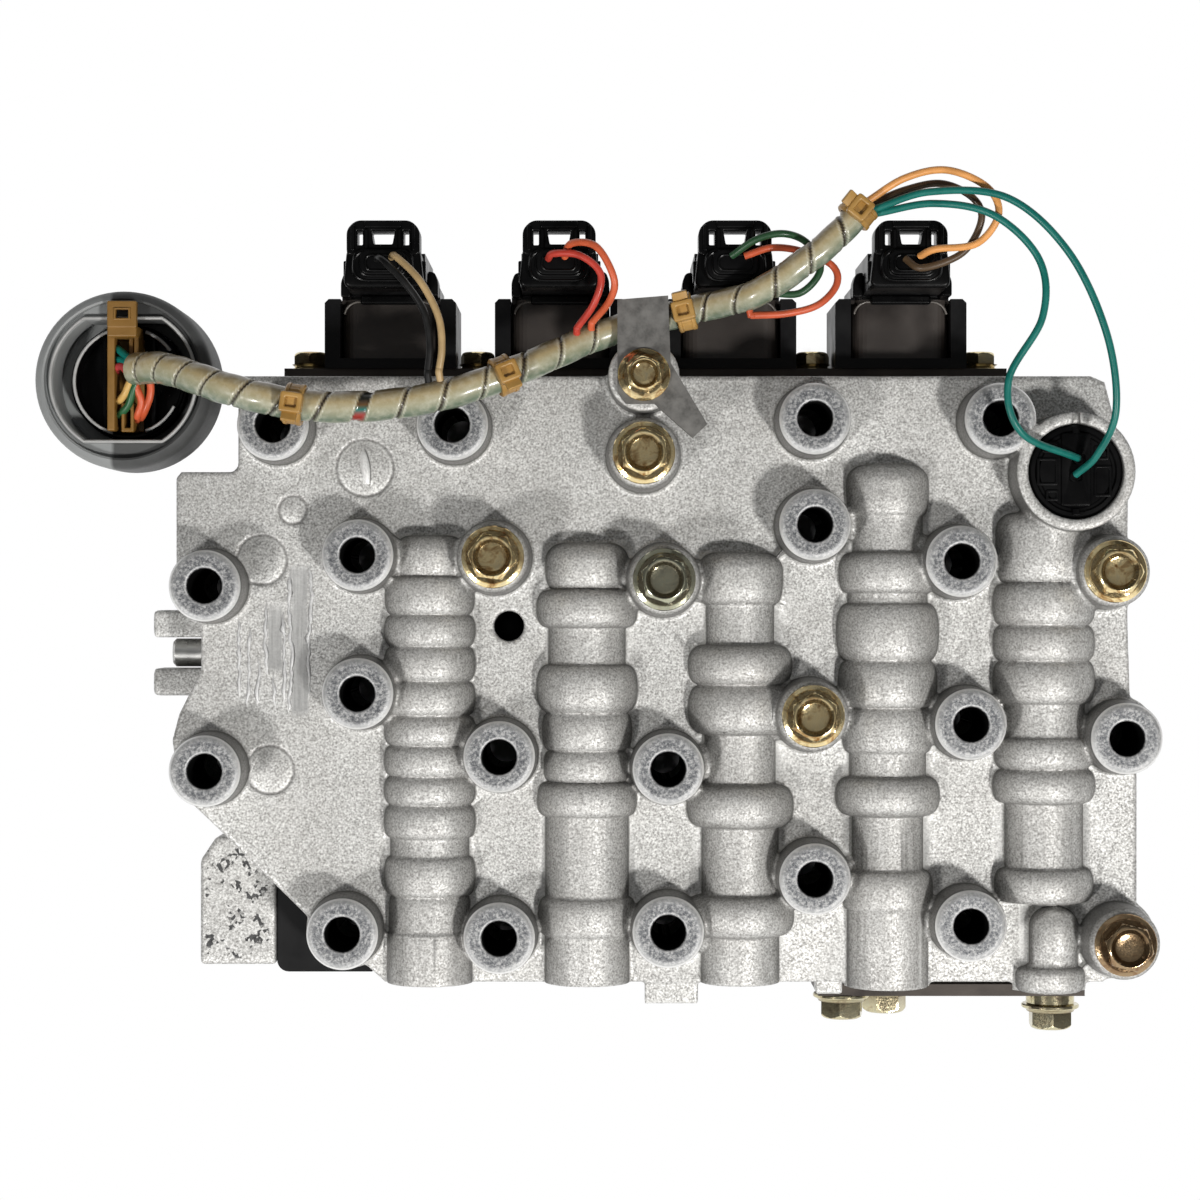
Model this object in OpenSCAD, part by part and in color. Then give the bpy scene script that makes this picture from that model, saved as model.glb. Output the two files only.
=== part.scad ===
// Transmission valve body: an upper and a lower aluminium casting with a separator plate
// between them, spool valves in the upper casting, four shift solenoids along one edge,
// and the wiring loom that runs from the solenoids to the case connector.
// The origin is on the case face under the middle of the castings. +Z points away from
// the transmission case, +Y points at the solenoids, and +X runs along the solenoid row.

/* [Castings] */
// Height of the lower casting above the case face
lower_h = 26; // [25:0.5:30]
// Thickness of each gasket
gasket_t = 0.4; // [0.2:0.1:0.8]
// Thickness of the steel separator plate
separator_t = 1.6; // [1:0.1:2.4]
// Thickness of the upper casting's deck
deck_t = 12; // [11:0.5:15]
// Distance from the middle to the solenoid face
front_y = 76; // [75:0.5:77]
// Distance from the middle to the face with the bore mouths
back_y = 75.5; // [75:0.5:77]

/* [Bosses] */
// Height of the bolt bosses above the deck
boss_h = 14; // [12:0.5:16]
// Diameter of a boss at its foot
boss_foot_d = 19; // [18.4:0.2:20]
// Diameter of a boss at its upper edge
boss_top_d = 17.6; // [17:0.2:18.4]
// Diameter of the machined face on a boss
boss_face_d = 15.6; // [15:0.2:16.4]
// Diameter of the holes for the case bolts
case_hole_d = 8.6; // [8:0.1:9]

/* [Valve bores] */
// Diameter of the four main spool bores
bore_d = 12.6; // [11:0.2:13]
// Diameter of the slim fifth spool bore
slim_bore_d = 8.4; // [7:0.2:9]
// Radial running clearance of every spool
spool_gap = 0.03; // [0.01:0.01:0.08]
// Working travel of a spool against its spring
spool_travel = 5; // [3:0.5:6]
// Depth of the hump axes below the deck's surface
hump_drop = 1; // [0.5:0.1:1.5]
// Wall between a bore groove and the outside of its hump
hump_wall = 3.2; // [3:0.1:4]

/* [Manual valve] */
// Diameter of the manual valve's bore
manual_bore_d = 8.8; // [8:0.1:8.8]
// Diameter of the manual valve's free end
manual_end_d = 7.3; // [6.5:0.1:7.4]
// Travel of the manual valve outwards
manual_travel = 18; // [12:1:20]

/* [Solenoids] */
// Distance between neighbouring solenoids
solenoid_pitch = 43.3; // [42:0.1:44]
// Height of the solenoid axes above the case face
solenoid_z = 14; // [14:0.1:15]
// Gap between the yokes of neighbouring solenoids
yoke_gap = 9.9; // [9.6:0.1:11]
// Thickness of the retainer plate and of the cover plate
sheet_t = 3; // [2:0.5:4]
// Travel of a solenoid plunger
plunger_travel = 1.2; // [0.8:0.1:2]

/* [Fasteners] */
// Thread diameter of the bolts
bolt_d = 6; // [5:0.5:6]
// Width of the bolt heads across flats
hex_af = 10; // [9:0.5:11]
// Diameter of the bolt flanges
flange_d = 14.8; // [14:0.2:15.2]
// Thread diameter of the small bolts in the retainer plate and the bracket
small_bolt_d = 5; // [4:0.5:5]
// Width of the small bolt heads across flats
small_hex_af = 8; // [7:0.5:8]

/* [Wiring] */
// Outer diameter of the wrapped loom at the case connector
loom_d = 8.2; // [7.8:0.1:8.4]
// Outer diameter of the wrapped loom at its free end
loom_end_d = 6.8; // [6.4:0.1:7]
// Outer diameter of a single wire
wire_d = 1.8; // [1.4:0.1:1.9]
// Outer diameter of the case connector
connector_d = 44.6; // [44:0.2:46]
// Height of the case connector
connector_h = 45; // [44:0.5:46]

/* [Hidden] */
$fn = 48;

// Heights of the stack
separator_z = lower_h + gasket_t;
deck_foot_z = lower_h + 2 * gasket_t + separator_t;
deck_z = deck_foot_z + deck_t;
boss_z = deck_z + boss_h;
bore_z = deck_z - hump_drop;

// Small overlap that lets a cut or a joint run past a face
past = 1;
// Gap between fixed pieces that slide together when assembled
fit_gap = 0.1;

// Through holes for the case bolts, each in a boss of its own
case_holes = [
  [-94, 63], [-50, 63], [39, 64.5], [84.5, 64.5], [39, 38.5], [-73.25, 31], [75, 29.5],
  [-110.75, 23.5], [-73.25, -3], [77.25, -10.5], [115.5, -14], [-38.5, -18.5], [3, -21.5],
  [-110.75, -22], [39, -48.5], [77.25, -60], [3, -61.5], [-77, -62], [-38.5, -63]
];
// Bolts that hold the castings together
clamp_bolts = [[-3, 56], [-40, 30.5], [2, 25], [38.5, -8.5], [112.5, 27], [115, -64.5]];
bracket_at = [-3, 75];
sensor_at = [103, 51.5];
sensor_boss_d = 29.2;
sensor_d = 23;
// Plain oil hole in the deck
deck_hole_at = [-36.5, 13.5];
deck_hole_d = 7.5;

// Bosses that round the edge of both castings, with the radius they give it
edge_bosses = [[-110.75, 23.5], [-110.75, -22], [-77, -62], [115.5, -14], [112.5, 27], [115, -64.5]];
edge_boss_r = 10.2;
deck_edge = [
  [-103, front_y], [109, front_y], [112.5, 74.5], [115.5, 63], [118.5, 52], [118.25, 35],
  [118.25, 15], [118.75, -2.5], [120.5, -24], [120.5, -55], [118, -72], [112, -back_y],
  [-67.5, -back_y], [-72, -71.5], [-84, -62], [-110.5, -36], [-119, -28], [-120.75, -15],
  [-119, -8.5], [-113.5, 2.5], [-113.5, 14], [-119.75, 20], [-119.75, 50.5], [-118.5, 52],
  [-105.5, 52], [-104.25, 53.5], [-104.25, 74.75]
];
lower_edge = [
  [-102.5, front_y], [110, front_y], [114.5, 63], [117, 50], [117, 15], [117.5, -3], [119, -24],
  [119, -56], [116, -73], [111, -back_y], [-66, -back_y], [-82, -62], [-109, -37], [-117, -28],
  [-119, -15], [-112.5, 2], [-112.5, 14], [-118.5, 20], [-118.5, 51], [-103.5, 52.5]
];
// Lug on the edge with the bore mouths: left, right, reach and height
lug = [-2.5, 10.8, 81];
lug_t = 7;
// Small lug beside the cover plate
edge_lug = [40.6, 47.4, 79.4];
edge_lug_t = 6;

// Passages in the case face and under the separator, as left, lower, right, upper edges
case_passages = [
  [-101, -30, -95, 45], [-90, -45, -84, 50], [-65, -70, -59, -8], [-55, -60, -48, 20],
  [-65, 0, -59, 45], [-29, -68, -22, -30], [-29, -22, -22, 40], [-17, -70, -10, 10],
  [11, -68, 18, -5], [22, -60, 29, 30], [11, 2, 18, 45], [48, -70, 55, -15], [59, -70, 66, 20],
  [48, -8, 55, 55], [86, -65, 93, -25], [97, -70, 104, 5], [86, -18, 93, 45]
];
case_passage_depth = 7;
plate_passages = [
  [-66, -45, -46, -39], [-30, -45, -8, -39], [10, -36, 33, -30], [46, -36, 70, -30],
  [84, -40, 108, -34], [-66, 10, -46, 16], [-30, 14, -8, 20], [10, 12, 33, 18],
  [46, 10, 70, 16], [84, 8, 108, 14]
];
plate_passage_depth = 5;
ball_d = 4.8;
orifice_d = 4;
// Plate passages that hold a check ball
ball_passages = [0, 2, 5, 8];

// Humps over the spool bores: X, upper end, and sections of length, radius and shoulder depth.
// A section with no shoulder is a plain cylinder, and the others are rounded rings.
humps = [
  [-56.25, 36.1, [[10.4, 9.6, 0], [9.4, 11.4, 1.4], [7.9, 11.6, 1.5], [8.6, 11.6, 1.5],
    [8.6, 11.6, 1.5], [7.4, 11.6, 1.5], [7.7, 11.6, 1.5], [7.1, 11.6, 1.5], [8.2, 11.6, 1.5],
    [4.7, 10, 0], [9.6, 11.6, 1.6], [9.4, 10, 0], [12.6, 10.8, 0]]],
  [-17, 34.3, [[11.8, 10.6, 0], [9.4, 12.8, 3], [9.2, 9.8, 0], [11.8, 12.8, 3], [9.6, 11.2, 0],
    [7.9, 10.6, 0], [8.4, 12.6, 2.4], [20.3, 10.6, 0], [9.4, 12.4, 2.2], [12, 10.7, 0]]],
  [21.2, 31.9, [[13, 10.8, 0], [10, 9.4, 0], [10.1, 13.2, 3.4], [12.3, 13.2, 3.2], [12.4, 9.8, 0],
    [10.7, 13.5, 3.4], [16.8, 9.8, 0], [10.3, 13.6, 3.4], [11.8, 10.6, 0]]],
  [58, 53.8, [[12.8, 10.5, 0], [9.1, 9.8, 0], [10.2, 12.4, 2.6], [2.6, 10.2, 0], [14.2, 13, 2.6],
    [11.6, 12.6, 2.2], [11.3, 11.6, 1.4], [6, 10.4, 0], [9.8, 13.2, 3.2], [13.4, 10, 0],
    [10, 11.6, 1.8], [19.3, 10.7, 0]]],
  [97, 41.8, [[17.6, 12.2, 0], [10.6, 13, 2.6], [8.7, 12.9, 2], [10.7, 13, 2.4], [8.4, 10.4, 0],
    [7.8, 12.6, 2.2], [8.6, 13, 2.8], [16.1, 10.4, 0], [8.6, 12.6, 2.6], [15.9, 7.2, 0],
    [6.5, 9.2, 0]]]
];
// Roundness of the ring shoulders, and the step between the points of a ring
ring_power = 2.4;
ring_step = 20;
// Round-nosed lug on the end of the last hump: length, radius and height of its axis above the deck
nose_l = 15;
nose_r = 6.2;
nose_rise = 1.5;
nose_y = -56.4;
nose_shift = 2.4;
// Sections at the end of the last hump that lie to one side of its axis
tail_sections = 2;
tail_shift = 1.6;

// Spool trains
blind_wall = 4;
stop_gap = 0.3;
plug_l = 8;
plug_recess = 1.5;
spring_l = 17 + spool_travel;
land_count = 4;
land_share = 0.55;
keeper_w = 7.6;
keeper_t = 2;
keeper_depth = 1.4;
groove_margin = 2;
port_w = 8;

// Manual valve, along X through the left side of the lower casting
manual_y = 6.4;
manual_z = 14;
manual_end_x = -124.2;
manual_bore_x = [-113, -20];
prong_x = -128.6;
prong_w = 7;
prong_z = [8, 21];
prong_gap = 8;

// Solenoid pieces, with Y measured from the retainer plate and Z from the solenoid axis
solenoid_x0 = -67.1;
solenoid_face_y = front_y + sheet_t;
yoke_side_t = 4;
yoke_back_t = 2.5;
yoke_y = 17.6;
yoke_z = [-13, 14];
yoke_w = solenoid_pitch - yoke_gap;
coil_w = yoke_w - 2 * yoke_side_t - 0.4;
snout_r = 6.3;
snout_l = 26;
seal_r = 0.66;
core_r = 5;
plunger_r = 3.5;
tower_w = 19.2;
tower_y = [18.6, 27.6];
tower_z = [13, 26];
plug_w = 18;
plug_y = [18, 27.8];
plug_z = [26.3, 40];
plug_reach = 34.4;

// Plates and their bolts
plate_margin = 5.4;
solenoid_plate_z = [1, lower_h + 1];
plate_thread_l = 6.5;
cover_x = [42, 110];
cover_z = [1, lower_h - 0.4];
// Spacer under the cover plate, which is thinner than the plate's edge is high
spacer_t = 2.6;
spacer_drop = 2.4;
// Cover bolts: X, Z, and the thickness of the washers under the head
cover_bolt_at = [[48.5, 19, 0], [60.5, 8, 0], [102.5, 17, 3]];
washer_d = 12.4;
clamp_thread_l = 17;

// Harness bracket: a strip from its boss over the loom, with a tail
bracket_t = 2;
bracket_w = 13;
bracket_reach = 19.4;
bracket_flange_d = 12.8;

// Case connector, standing on the case face plane beside the castings
connector_at = [-132.4, 74.8];
connector_barrel_d = 35;
connector_flange_z = 20;
connector_rim_r = 18.8;
connector_flat = 15.4;
connector_socket_r = 14.5;
connector_socket_h = 12;

// Route of the loom, from the case connector to its free end above the last solenoid
loom_route = [
  [-129.4, 77.5, 44.4], [-120, 76.8, 51], [-103, 71, 58.8], [-85, 67.2, 60.4], [-66, 67.4, 60.4],
  [-48, 70.8, 60], [-30, 77.8, 56.4], [-12, 85.9, 50], [11, 91.9, 50], [24, 94.6, 58.4],
  [36, 102, 61.4], [44.4, 109, 61.6], [49.8, 115.3, 61.4]
];
// Routes of the wires of each solenoid and of the sensor
leads_1 = [
  [[-68.5, 103.6, 54.8], [-67, 103, 58], [-61.5, 97.5, 61], [-56.5, 90, 61.5], [-55, 82, 61.5],
    [-55.6, 74.8, 61.2]],
  [[-64.8, 104, 54.8], [-63.4, 103.6, 58.4], [-57.5, 97.5, 62.6], [-53, 89, 63], [-52, 81.5, 63],
    [-52.8, 75.2, 62]]
];
leads_2 = [
  [[-26.4, 103.6, 54.8], [-25, 104.4, 58.4], [-18.6, 103.6, 61], [-13.6, 99, 62],
    [-15, 92.4, 60.6], [-19.4, 86.4, 56]],
  [[-22.4, 104, 54.8], [-20.6, 106.6, 60.6], [-14.6, 105.2, 65], [-10.4, 97.6, 65],
    [-11.4, 92.6, 61.6], [-15.8, 87.8, 55]]
];
leads_3 = [
  [[18.4, 104.2, 54.8], [24.5, 108, 57.6], [31.1, 109.2, 58.6], [37, 107.2, 55.8],
    [40.2, 101, 55.6], [35.4, 95.2, 55.4], [28, 95.2, 54.4]],
  [[21.6, 104.2, 54.8], [28.4, 106.2, 55.4], [36.4, 105.4, 53.4], [43.4, 102, 53],
    [44.2, 97.2, 54.2], [39.6, 92.2, 55.6], [32, 90, 56.6], [23, 89.4, 57.2]]
];
leads_4 = [
  [[50.8, 116.4, 62.4], [60, 122, 63.6], [70, 123.8, 64.4], [79.6, 119.6, 65], [82.4, 113, 65],
    [77.6, 106.4, 62], [68, 105.4, 59], [64.6, 104.2, 54.8]],
  [[51.6, 115.9, 60.4], [60, 119.4, 61.2], [69, 121, 61.4], [76.6, 117.6, 61.4], [78.8, 112.2, 61],
    [74.6, 104.6, 58.6], [65, 101, 57.4], [61, 103.6, 54.8]]
];
sensor_leads_routes = [
  [[52.6, 114.6, 62.6], [66, 118.4, 65.6], [84, 116.4, 69.2], [98.4, 103.4, 70], [107.6, 84, 69.6],
    [110.4, 66, 67], [107, 55.4, 61], [102.6, 50.6, 55.4]],
  [[53, 113.8, 60.6], [67, 115.8, 64], [81, 112.4, 67.6], [91.8, 101.6, 68], [92.6, 88, 67.6],
    [84.6, 73, 66.6], [88, 60.4, 64.6], [103.4, 54.6, 55.4]]
];
// Cable ties, each at a part of the way along a stretch of the loom
tie_spots = [[2, 0.85], [5, 0.6], [7, 0.835], [11, 0.8]];
tie_w = 4.6;
tie_t = 1.1;

// Shapes that several pieces share

function unit(v) = v / norm(v);
function across(t) = unit(cross(t, abs(t[2]) > 0.9 ? [1, 0, 0] : [0, 0, 1]));
function heading(p, i) = unit(p[min(i + 1, len(p) - 1)] - p[max(i - 1, 0)]);

// Directions across a route, carried along it without twisting
function carried(p, i = 0, last = undef) =
  i == len(p) ? [] :
  let(t = heading(p, i))
  let(w = i == 0 ? across(t) : last)
  let(u = unit(w - (w * t) * t))
  concat([u], carried(p, i + 1, u));

// Round tube along a route
module tube(p, r, sides, end_r = undef) {
  u = carried(p);
  slope = is_undef(end_r) ? 0 : (end_r - r) / (len(p) - 1);
  points = [
    for (i = [0:len(p) - 1])
      for (k = [0:sides - 1])
        let(out = cos(360 * k / sides) * u[i] + sin(360 * k / sides) * cross(heading(p, i), u[i]))
        p[i] + (r + slope * i) * out
  ];
  walls = [
    for (i = [0:len(p) - 2])
      for (k = [0:sides - 1])
        let(a = i * sides + k, b = i * sides + (k + 1) % sides)
        each [[a, a + sides, b + sides], [a, b + sides, b]]
  ];
  first = [for (k = [0:sides - 1]) k];
  last = [for (k = [sides - 1:-1:0]) (len(p) - 1) * sides + k];
  polyhedron(points, concat(walls, [first, last]));
}

// Moves a shape whose axis is Z so that the axis lies along +Y
module along_y() {
  rotate([-90, 0, 0])
    children();
}

// Moves a half turned shape so that its axis lies along +Y and its flat side faces down
module dome_along_y() {
  rotate([90, 0, 180])
    children();
}

module at_each(points) {
  for (p = points)
    translate(p)
      children();
}

module box(low, high) {
  translate(low)
    cube(high - low);
}

module rect(edges) {
  translate([edges[0], edges[1]])
    square([edges[2] - edges[0], edges[3] - edges[1]]);
}

// Flanged hexagon bolt with its seat at the origin and its head along +Z
module flange_bolt(shank_l, thread_d = bolt_d, af = hex_af, flange = flange_d) {
  flange_t = 2;
  head_h = af * 0.64;
  dish_d = af * 0.66;
  difference() {
    union() {
      cylinder(d = flange, h = 1);
      translate([0, 0, 1])
        cylinder(d1 = flange, d2 = af * 1.16, h = flange_t - 1);
      intersection() {
        cylinder(d = af / cos(30), h = head_h, $fn = 6);
        cylinder(d1 = af * 2.2, d2 = af, h = head_h);
      }
    }
    translate([0, 0, head_h - 1])
      cylinder(d1 = dish_d * 0.7, d2 = dish_d, h = 1 + past);
  }
  translate([0, 0, -shank_l])
    cylinder(d = thread_d, h = shank_l + past);
}

// Outline of the upper casting, the separator and the gaskets
module deck_blank(t) {
  linear_extrude(t)
    polygon(deck_edge);
  at_each(edge_bosses)
    cylinder(r = edge_boss_r, h = t);
}

module lower_outline() {
  polygon(lower_edge);
  at_each(edge_bosses)
    circle(r = edge_boss_r - 0.6);
}

module boss() {
  foot = -2;
  rotate_extrude()
    polygon([
      [0, foot], [boss_foot_d / 2, foot], [boss_foot_d / 2, 0], [boss_top_d / 2, boss_h - 1.2],
      [boss_face_d / 2, boss_h], [0, boss_h]
    ]);
}

// Upper casting

function ring_points(y, section) =
  let(l = section[0], r = section[1], shoulder = section[2])
  shoulder == 0 ? [[r, y], [r, y - l]] :
  [
    for (turn = [0:ring_step:180])
      let(u = cos(turn))
      [r - shoulder * (1 - pow(1 - pow(abs(u), ring_power), 1 / ring_power)), y - l * (1 - u) / 2]
  ];

function groove_points(y, section, r) =
  let(l = section[0], groove_r = section[1] - hump_wall)
  section[2] == 0 ? [[r, y], [r, y - l]] :
  [
    [r, y], [r, y - groove_margin], [groove_r, y - groove_margin],
    [groove_r, y - l + groove_margin], [r, y - l + groove_margin], [r, y - l]
  ];

function total(sections, upto) = upto == 0 ? 0 : sections[upto - 1][0] + total(sections, upto - 1);
function section_y(h, i) = h[1] - total(h[2], i);
function hump_end(h) = section_y(h, len(h[2]));
function bore_r(i) = (i == 4 ? slim_bore_d : bore_d) / 2;
function blind_y(i) = humps[i][1] - blind_wall;
function plug_face_y(i) = hump_end(humps[i]) + plug_recess;
function spring_foot_y(i) = plug_face_y(i) + plug_l;
function spool_end_y(i) = spring_foot_y(i) + spring_l;

module hump(h, first, last, shift = 0) {
  points = [
    [0, section_y(h, first)],
    for (i = [first:last])
      each ring_points(section_y(h, i), h[2][i]),
    [0, section_y(h, last) - h[2][last][0]]
  ];
  translate([h[0] + shift, 0, bore_z])
    dome_along_y()
      rotate_extrude(angle = 180)
        polygon(points);
}

// Stepped bore with a groove inside each ring, and a port from each groove to the separator
module spool_bore(i) {
  h = humps[i];
  r = bore_r(i);
  points = [
    [0, blind_y(i)], [r, blind_y(i)],
    for (k = [1:len(h[2]) - 1])
      each groove_points(section_y(h, k), h[2][k], r),
    [r, hump_end(h) - past], [0, hump_end(h) - past]
  ];
  translate([h[0], 0, bore_z])
    rotate([90, 0, 180])
      rotate_extrude()
        polygon(points);
  for (k = [1:len(h[2]) - 1])
    if (h[2][k][2] > 0) {
      y = section_y(h, k) - h[2][k][0] / 2;
      w = h[2][k][0] - 2 * groove_margin;
      box([h[0] - port_w / 2, y - w / 2, deck_foot_z - past], [h[0] + port_w / 2, y + w / 2, bore_z - r]);
    }
  keeper_y = plug_face_y(i) + plug_l / 2;
  box(
    [h[0] - keeper_w / 2 - fit_gap, keeper_y - keeper_t / 2 - fit_gap, deck_foot_z - past],
    [h[0] + keeper_w / 2 + fit_gap, keeper_y + keeper_t / 2 + fit_gap, bore_z - r + keeper_depth]
  );
}

module nose() {
  points = [[0, nose_y], each ring_points(nose_y, [nose_l, nose_r, nose_r - 1]), [0, nose_y - nose_l]];
  translate([humps[4][0] + nose_shift, 0, deck_z + nose_rise])
    dome_along_y()
      rotate_extrude(angle = 180)
        polygon(points);
}

// Flat round marks that the mould leaves on the deck: place, diameter, and height above it
mould_marks = [
  [[-98.3, 30], 12.4, 0.4], [[-96.3, -22.5], 12, 0.4], [[-90.5, 42.5], 7, 0.3], [[-72.5, 53], 14.2, 0.5]
];

module upper_body() {
  color("silver")
    difference() {
      union() {
        translate([0, 0, deck_foot_z])
          deck_blank(deck_t);
        for (i = [0:4])
          hump(humps[i], 0, len(humps[i][2]) - 1 - (i == 4 ? tail_sections : 0));
        hump(humps[4], len(humps[4][2]) - tail_sections, len(humps[4][2]) - 1, tail_shift);
        nose();
        at_each([for (p = concat(case_holes, clamp_bolts)) [p[0], p[1], deck_z]])
          boss();
        translate([bracket_at[0], bracket_at[1], deck_foot_z])
          cylinder(d = boss_top_d, h = boss_z - deck_foot_z);
        translate([sensor_at[0], sensor_at[1], deck_z - past])
          cylinder(d1 = sensor_boss_d + 0.8, d2 = sensor_boss_d, h = boss_h + past);
        box([lug[0], -lug[2], deck_z - lug_t], [lug[1], -back_y + past, deck_z - 0.5]);
        box([edge_lug[0], -edge_lug[2], deck_foot_z], [edge_lug[1], -back_y + past, deck_foot_z + edge_lug_t]);
        for (m = mould_marks)
          translate([m[0][0], m[0][1], deck_z - past])
            cylinder(d = m[1], h = past + m[2]);
      }
      at_each([for (p = case_holes) [p[0], p[1], deck_foot_z - past]])
        cylinder(d = case_hole_d, h = boss_z - deck_foot_z + 2 * past);
      at_each([for (p = clamp_bolts) [p[0], p[1], deck_foot_z - past]])
        cylinder(d = bolt_d + 0.6, h = boss_z - deck_foot_z + 2 * past);
      translate([bracket_at[0], bracket_at[1], boss_z - clamp_thread_l - past])
        cylinder(d = small_bolt_d + fit_gap, h = clamp_thread_l + 2 * past);
      translate([sensor_at[0], sensor_at[1], deck_z - past])
        cylinder(d = sensor_d + 0.4, h = boss_h + 2 * past);
      translate([sensor_at[0] - 0.9, sensor_at[1] + sensor_d / 2 - past, boss_z - 2])
        cube([1.8, sensor_boss_d, 2 + past]);
      translate([deck_hole_at[0], deck_hole_at[1], deck_foot_z - past])
        cylinder(d = deck_hole_d, h = deck_t + 2 * past);
      for (i = [0:len(humps) - 1])
        spool_bore(i);
    }
}

// Pieces of the stack

module stack_sheet(z, t, opening_d) {
  openings = [for (e = plate_passages) [(e[0] + e[2]) / 2, (e[1] + e[3]) / 2]];
  translate([0, 0, z])
    difference() {
      deck_blank(t);
      translate([0, 0, -past]) {
        at_each(case_holes)
          cylinder(d = case_hole_d, h = t + 2 * past);
        at_each(clamp_bolts)
          cylinder(d = bolt_d + 0.6, h = t + 2 * past);
        at_each(openings)
          cylinder(d = opening_d, h = t + 2 * past);
      }
    }
}

module upper_gasket() {
  color("darkseagreen")
    stack_sheet(separator_z + separator_t, gasket_t, orifice_d + 1.6);
}

module separator_plate() {
  color("gainsboro")
    stack_sheet(separator_z, separator_t, orifice_d);
}

module lower_gasket() {
  color("darkseagreen")
    stack_sheet(lower_h, gasket_t, orifice_d + 1.6);
}

// Machined corner pad on the lower casting
pad = [-115.8, -73, -96.5, -40.5];

module corner_pad() {
  linear_extrude(lower_h)
    polygon([
      [pad[0], pad[1]], [pad[2], pad[1]], [pad[2], pad[3]], [pad[0] + 4, pad[3]], [pad[0], pad[3] - 6]
    ]);
}

module prongs() {
  for (side = [-1, 1])
    translate([prong_x, manual_y + side * (prong_gap + prong_w) / 2 - prong_w / 2, prong_z[0]])
      cube([20, prong_w, prong_z[1] - prong_z[0]]);
}

module lower_body() {
  color("silver")
    difference() {
      union() {
        linear_extrude(lower_h)
          lower_outline();
        corner_pad();
        prongs();
      }
      at_each([for (p = case_holes) [p[0], p[1], -past]])
        cylinder(d = case_hole_d, h = lower_h + 2 * past);
      at_each([for (p = clamp_bolts) [p[0], p[1], lower_h - clamp_thread_l]])
        cylinder(d = bolt_d + fit_gap, h = clamp_thread_l + past);
      for (e = case_passages)
        translate([0, 0, -past])
          linear_extrude(case_passage_depth + past)
            rect(e);
      for (e = plate_passages)
        translate([0, 0, lower_h - plate_passage_depth])
          linear_extrude(plate_passage_depth + past)
            rect(e);
      translate([manual_bore_x[0] - past, manual_y, manual_z])
        rotate([0, 90, 0])
          cylinder(d = manual_bore_d, h = manual_bore_x[1] - manual_bore_x[0] + past);
      for (i = [0:3])
        translate([solenoid_x(i), front_y - snout_l - past, solenoid_z])
          along_y()
            cylinder(r = snout_r + fit_gap, h = snout_l + 2 * past);
      for (x = plate_bolt_x)
        translate([x, front_y - plate_thread_l, solenoid_z])
          along_y()
            cylinder(d = small_bolt_d + fit_gap, h = plate_thread_l + past);
      for (p = cover_bolt_at)
        translate([p[0], -back_y - past, p[1]])
          along_y()
            cylinder(d = bolt_d + fit_gap, h = plate_thread_l + past);
    }
}

module corner_cover() {
  cover_z0 = 3;
  cover_top = lower_h - 1.5;
  corner_r = 3;
  color([0.06, 0.06, 0.07])
    translate([0, 0, cover_z0])
      linear_extrude(cover_top - cover_z0)
        difference() {
          polygon([
            [pad[2] + 0.2, -75 + corner_r],
            for (turn = [180:15:270])
              [pad[2] + 0.2 + corner_r + corner_r * cos(turn), -75 + corner_r + corner_r * sin(turn)],
            [-72, -75], [-72, -48], [pad[2] + 0.2, -48]
          ]);
          lower_outline();
        }
}

module body_bolts() {
  color("goldenrod")
    at_each([for (p = clamp_bolts) [p[0], p[1], boss_z]])
      flange_bolt(boss_z - lower_h + clamp_thread_l - 1);
}

module check_balls() {
  color("lightgray")
    for (k = ball_passages) {
      e = plate_passages[k];
      translate([e[0] + 4, (e[1] + e[3]) / 2, lower_h - plate_passage_depth / 2])
        sphere(d = ball_d);
    }
}

// Spool trains

module manual_valve() {
  land_r = manual_bore_d / 2 - spool_gap;
  end_r = manual_end_d / 2;
  stem_r = 2.4;
  first = manual_bore_x[0] + manual_travel + 3;
  length = manual_bore_x[1] - stop_gap - 6 - manual_end_x;
  start = first - manual_end_x;
  land = 9;
  gap = (length - start - 3 * land) / 2;
  color("whitesmoke")
    translate([manual_end_x, manual_y, manual_z])
      rotate([0, 90, 0])
        rotate_extrude()
          polygon([
            [0, 0], [end_r - 0.7, 0], [end_r, 0.7], [end_r, start],
            for (k = [0:2])
              let(z = start + k * (land + gap))
              each [
                [land_r, z], [land_r, z + land],
                if (k < 2) each [[stem_r, z + land], [stem_r, z + land + gap]]
              ],
            [0, length]
          ]);
}

module spool(i) {
  r = bore_r(i) - spool_gap;
  waist_r = r * 0.6;
  guide_r = r * 0.42;
  guide_l = 6;
  top = blind_y(i) - stop_gap;
  length = top - spool_end_y(i);
  pitch = length / (land_count - 1 + land_share);
  land = pitch * land_share;
  color("gainsboro")
    translate([humps[i][0], top, bore_z])
      rotate([90, 0, 0])
        rotate_extrude()
          polygon([
            [0, 0],
            for (k = [0:land_count - 1])
              let(z = k * pitch)
              each [
                [r - 0.3, z], [r, z + 0.3], [r, z + land - 0.3], [r - 0.3, z + land],
                if (k < land_count - 1) each [[waist_r, z + land], [waist_r, z + pitch]]
              ],
            [guide_r, length], [guide_r, length + guide_l], [0, length + guide_l]
          ]);
}

module spool_spring(i) {
  wire_r = bore_r(i) * 0.09;
  coil_r = bore_r(i) * 0.76;
  turns = 6;
  per_turn = 10;
  room = spring_l - 2 * wire_r - 2 * fit_gap;
  route = [
    for (k = [0:turns * per_turn])
      let(turn = 360 * k / per_turn, share = k / (turns * per_turn))
      [coil_r * cos(turn), spring_foot_y(i) + wire_r + fit_gap + room * share, coil_r * sin(turn)]
  ];
  color("dimgray")
    translate([humps[i][0], 0, bore_z])
      tube(route, wire_r, 5);
}

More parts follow.
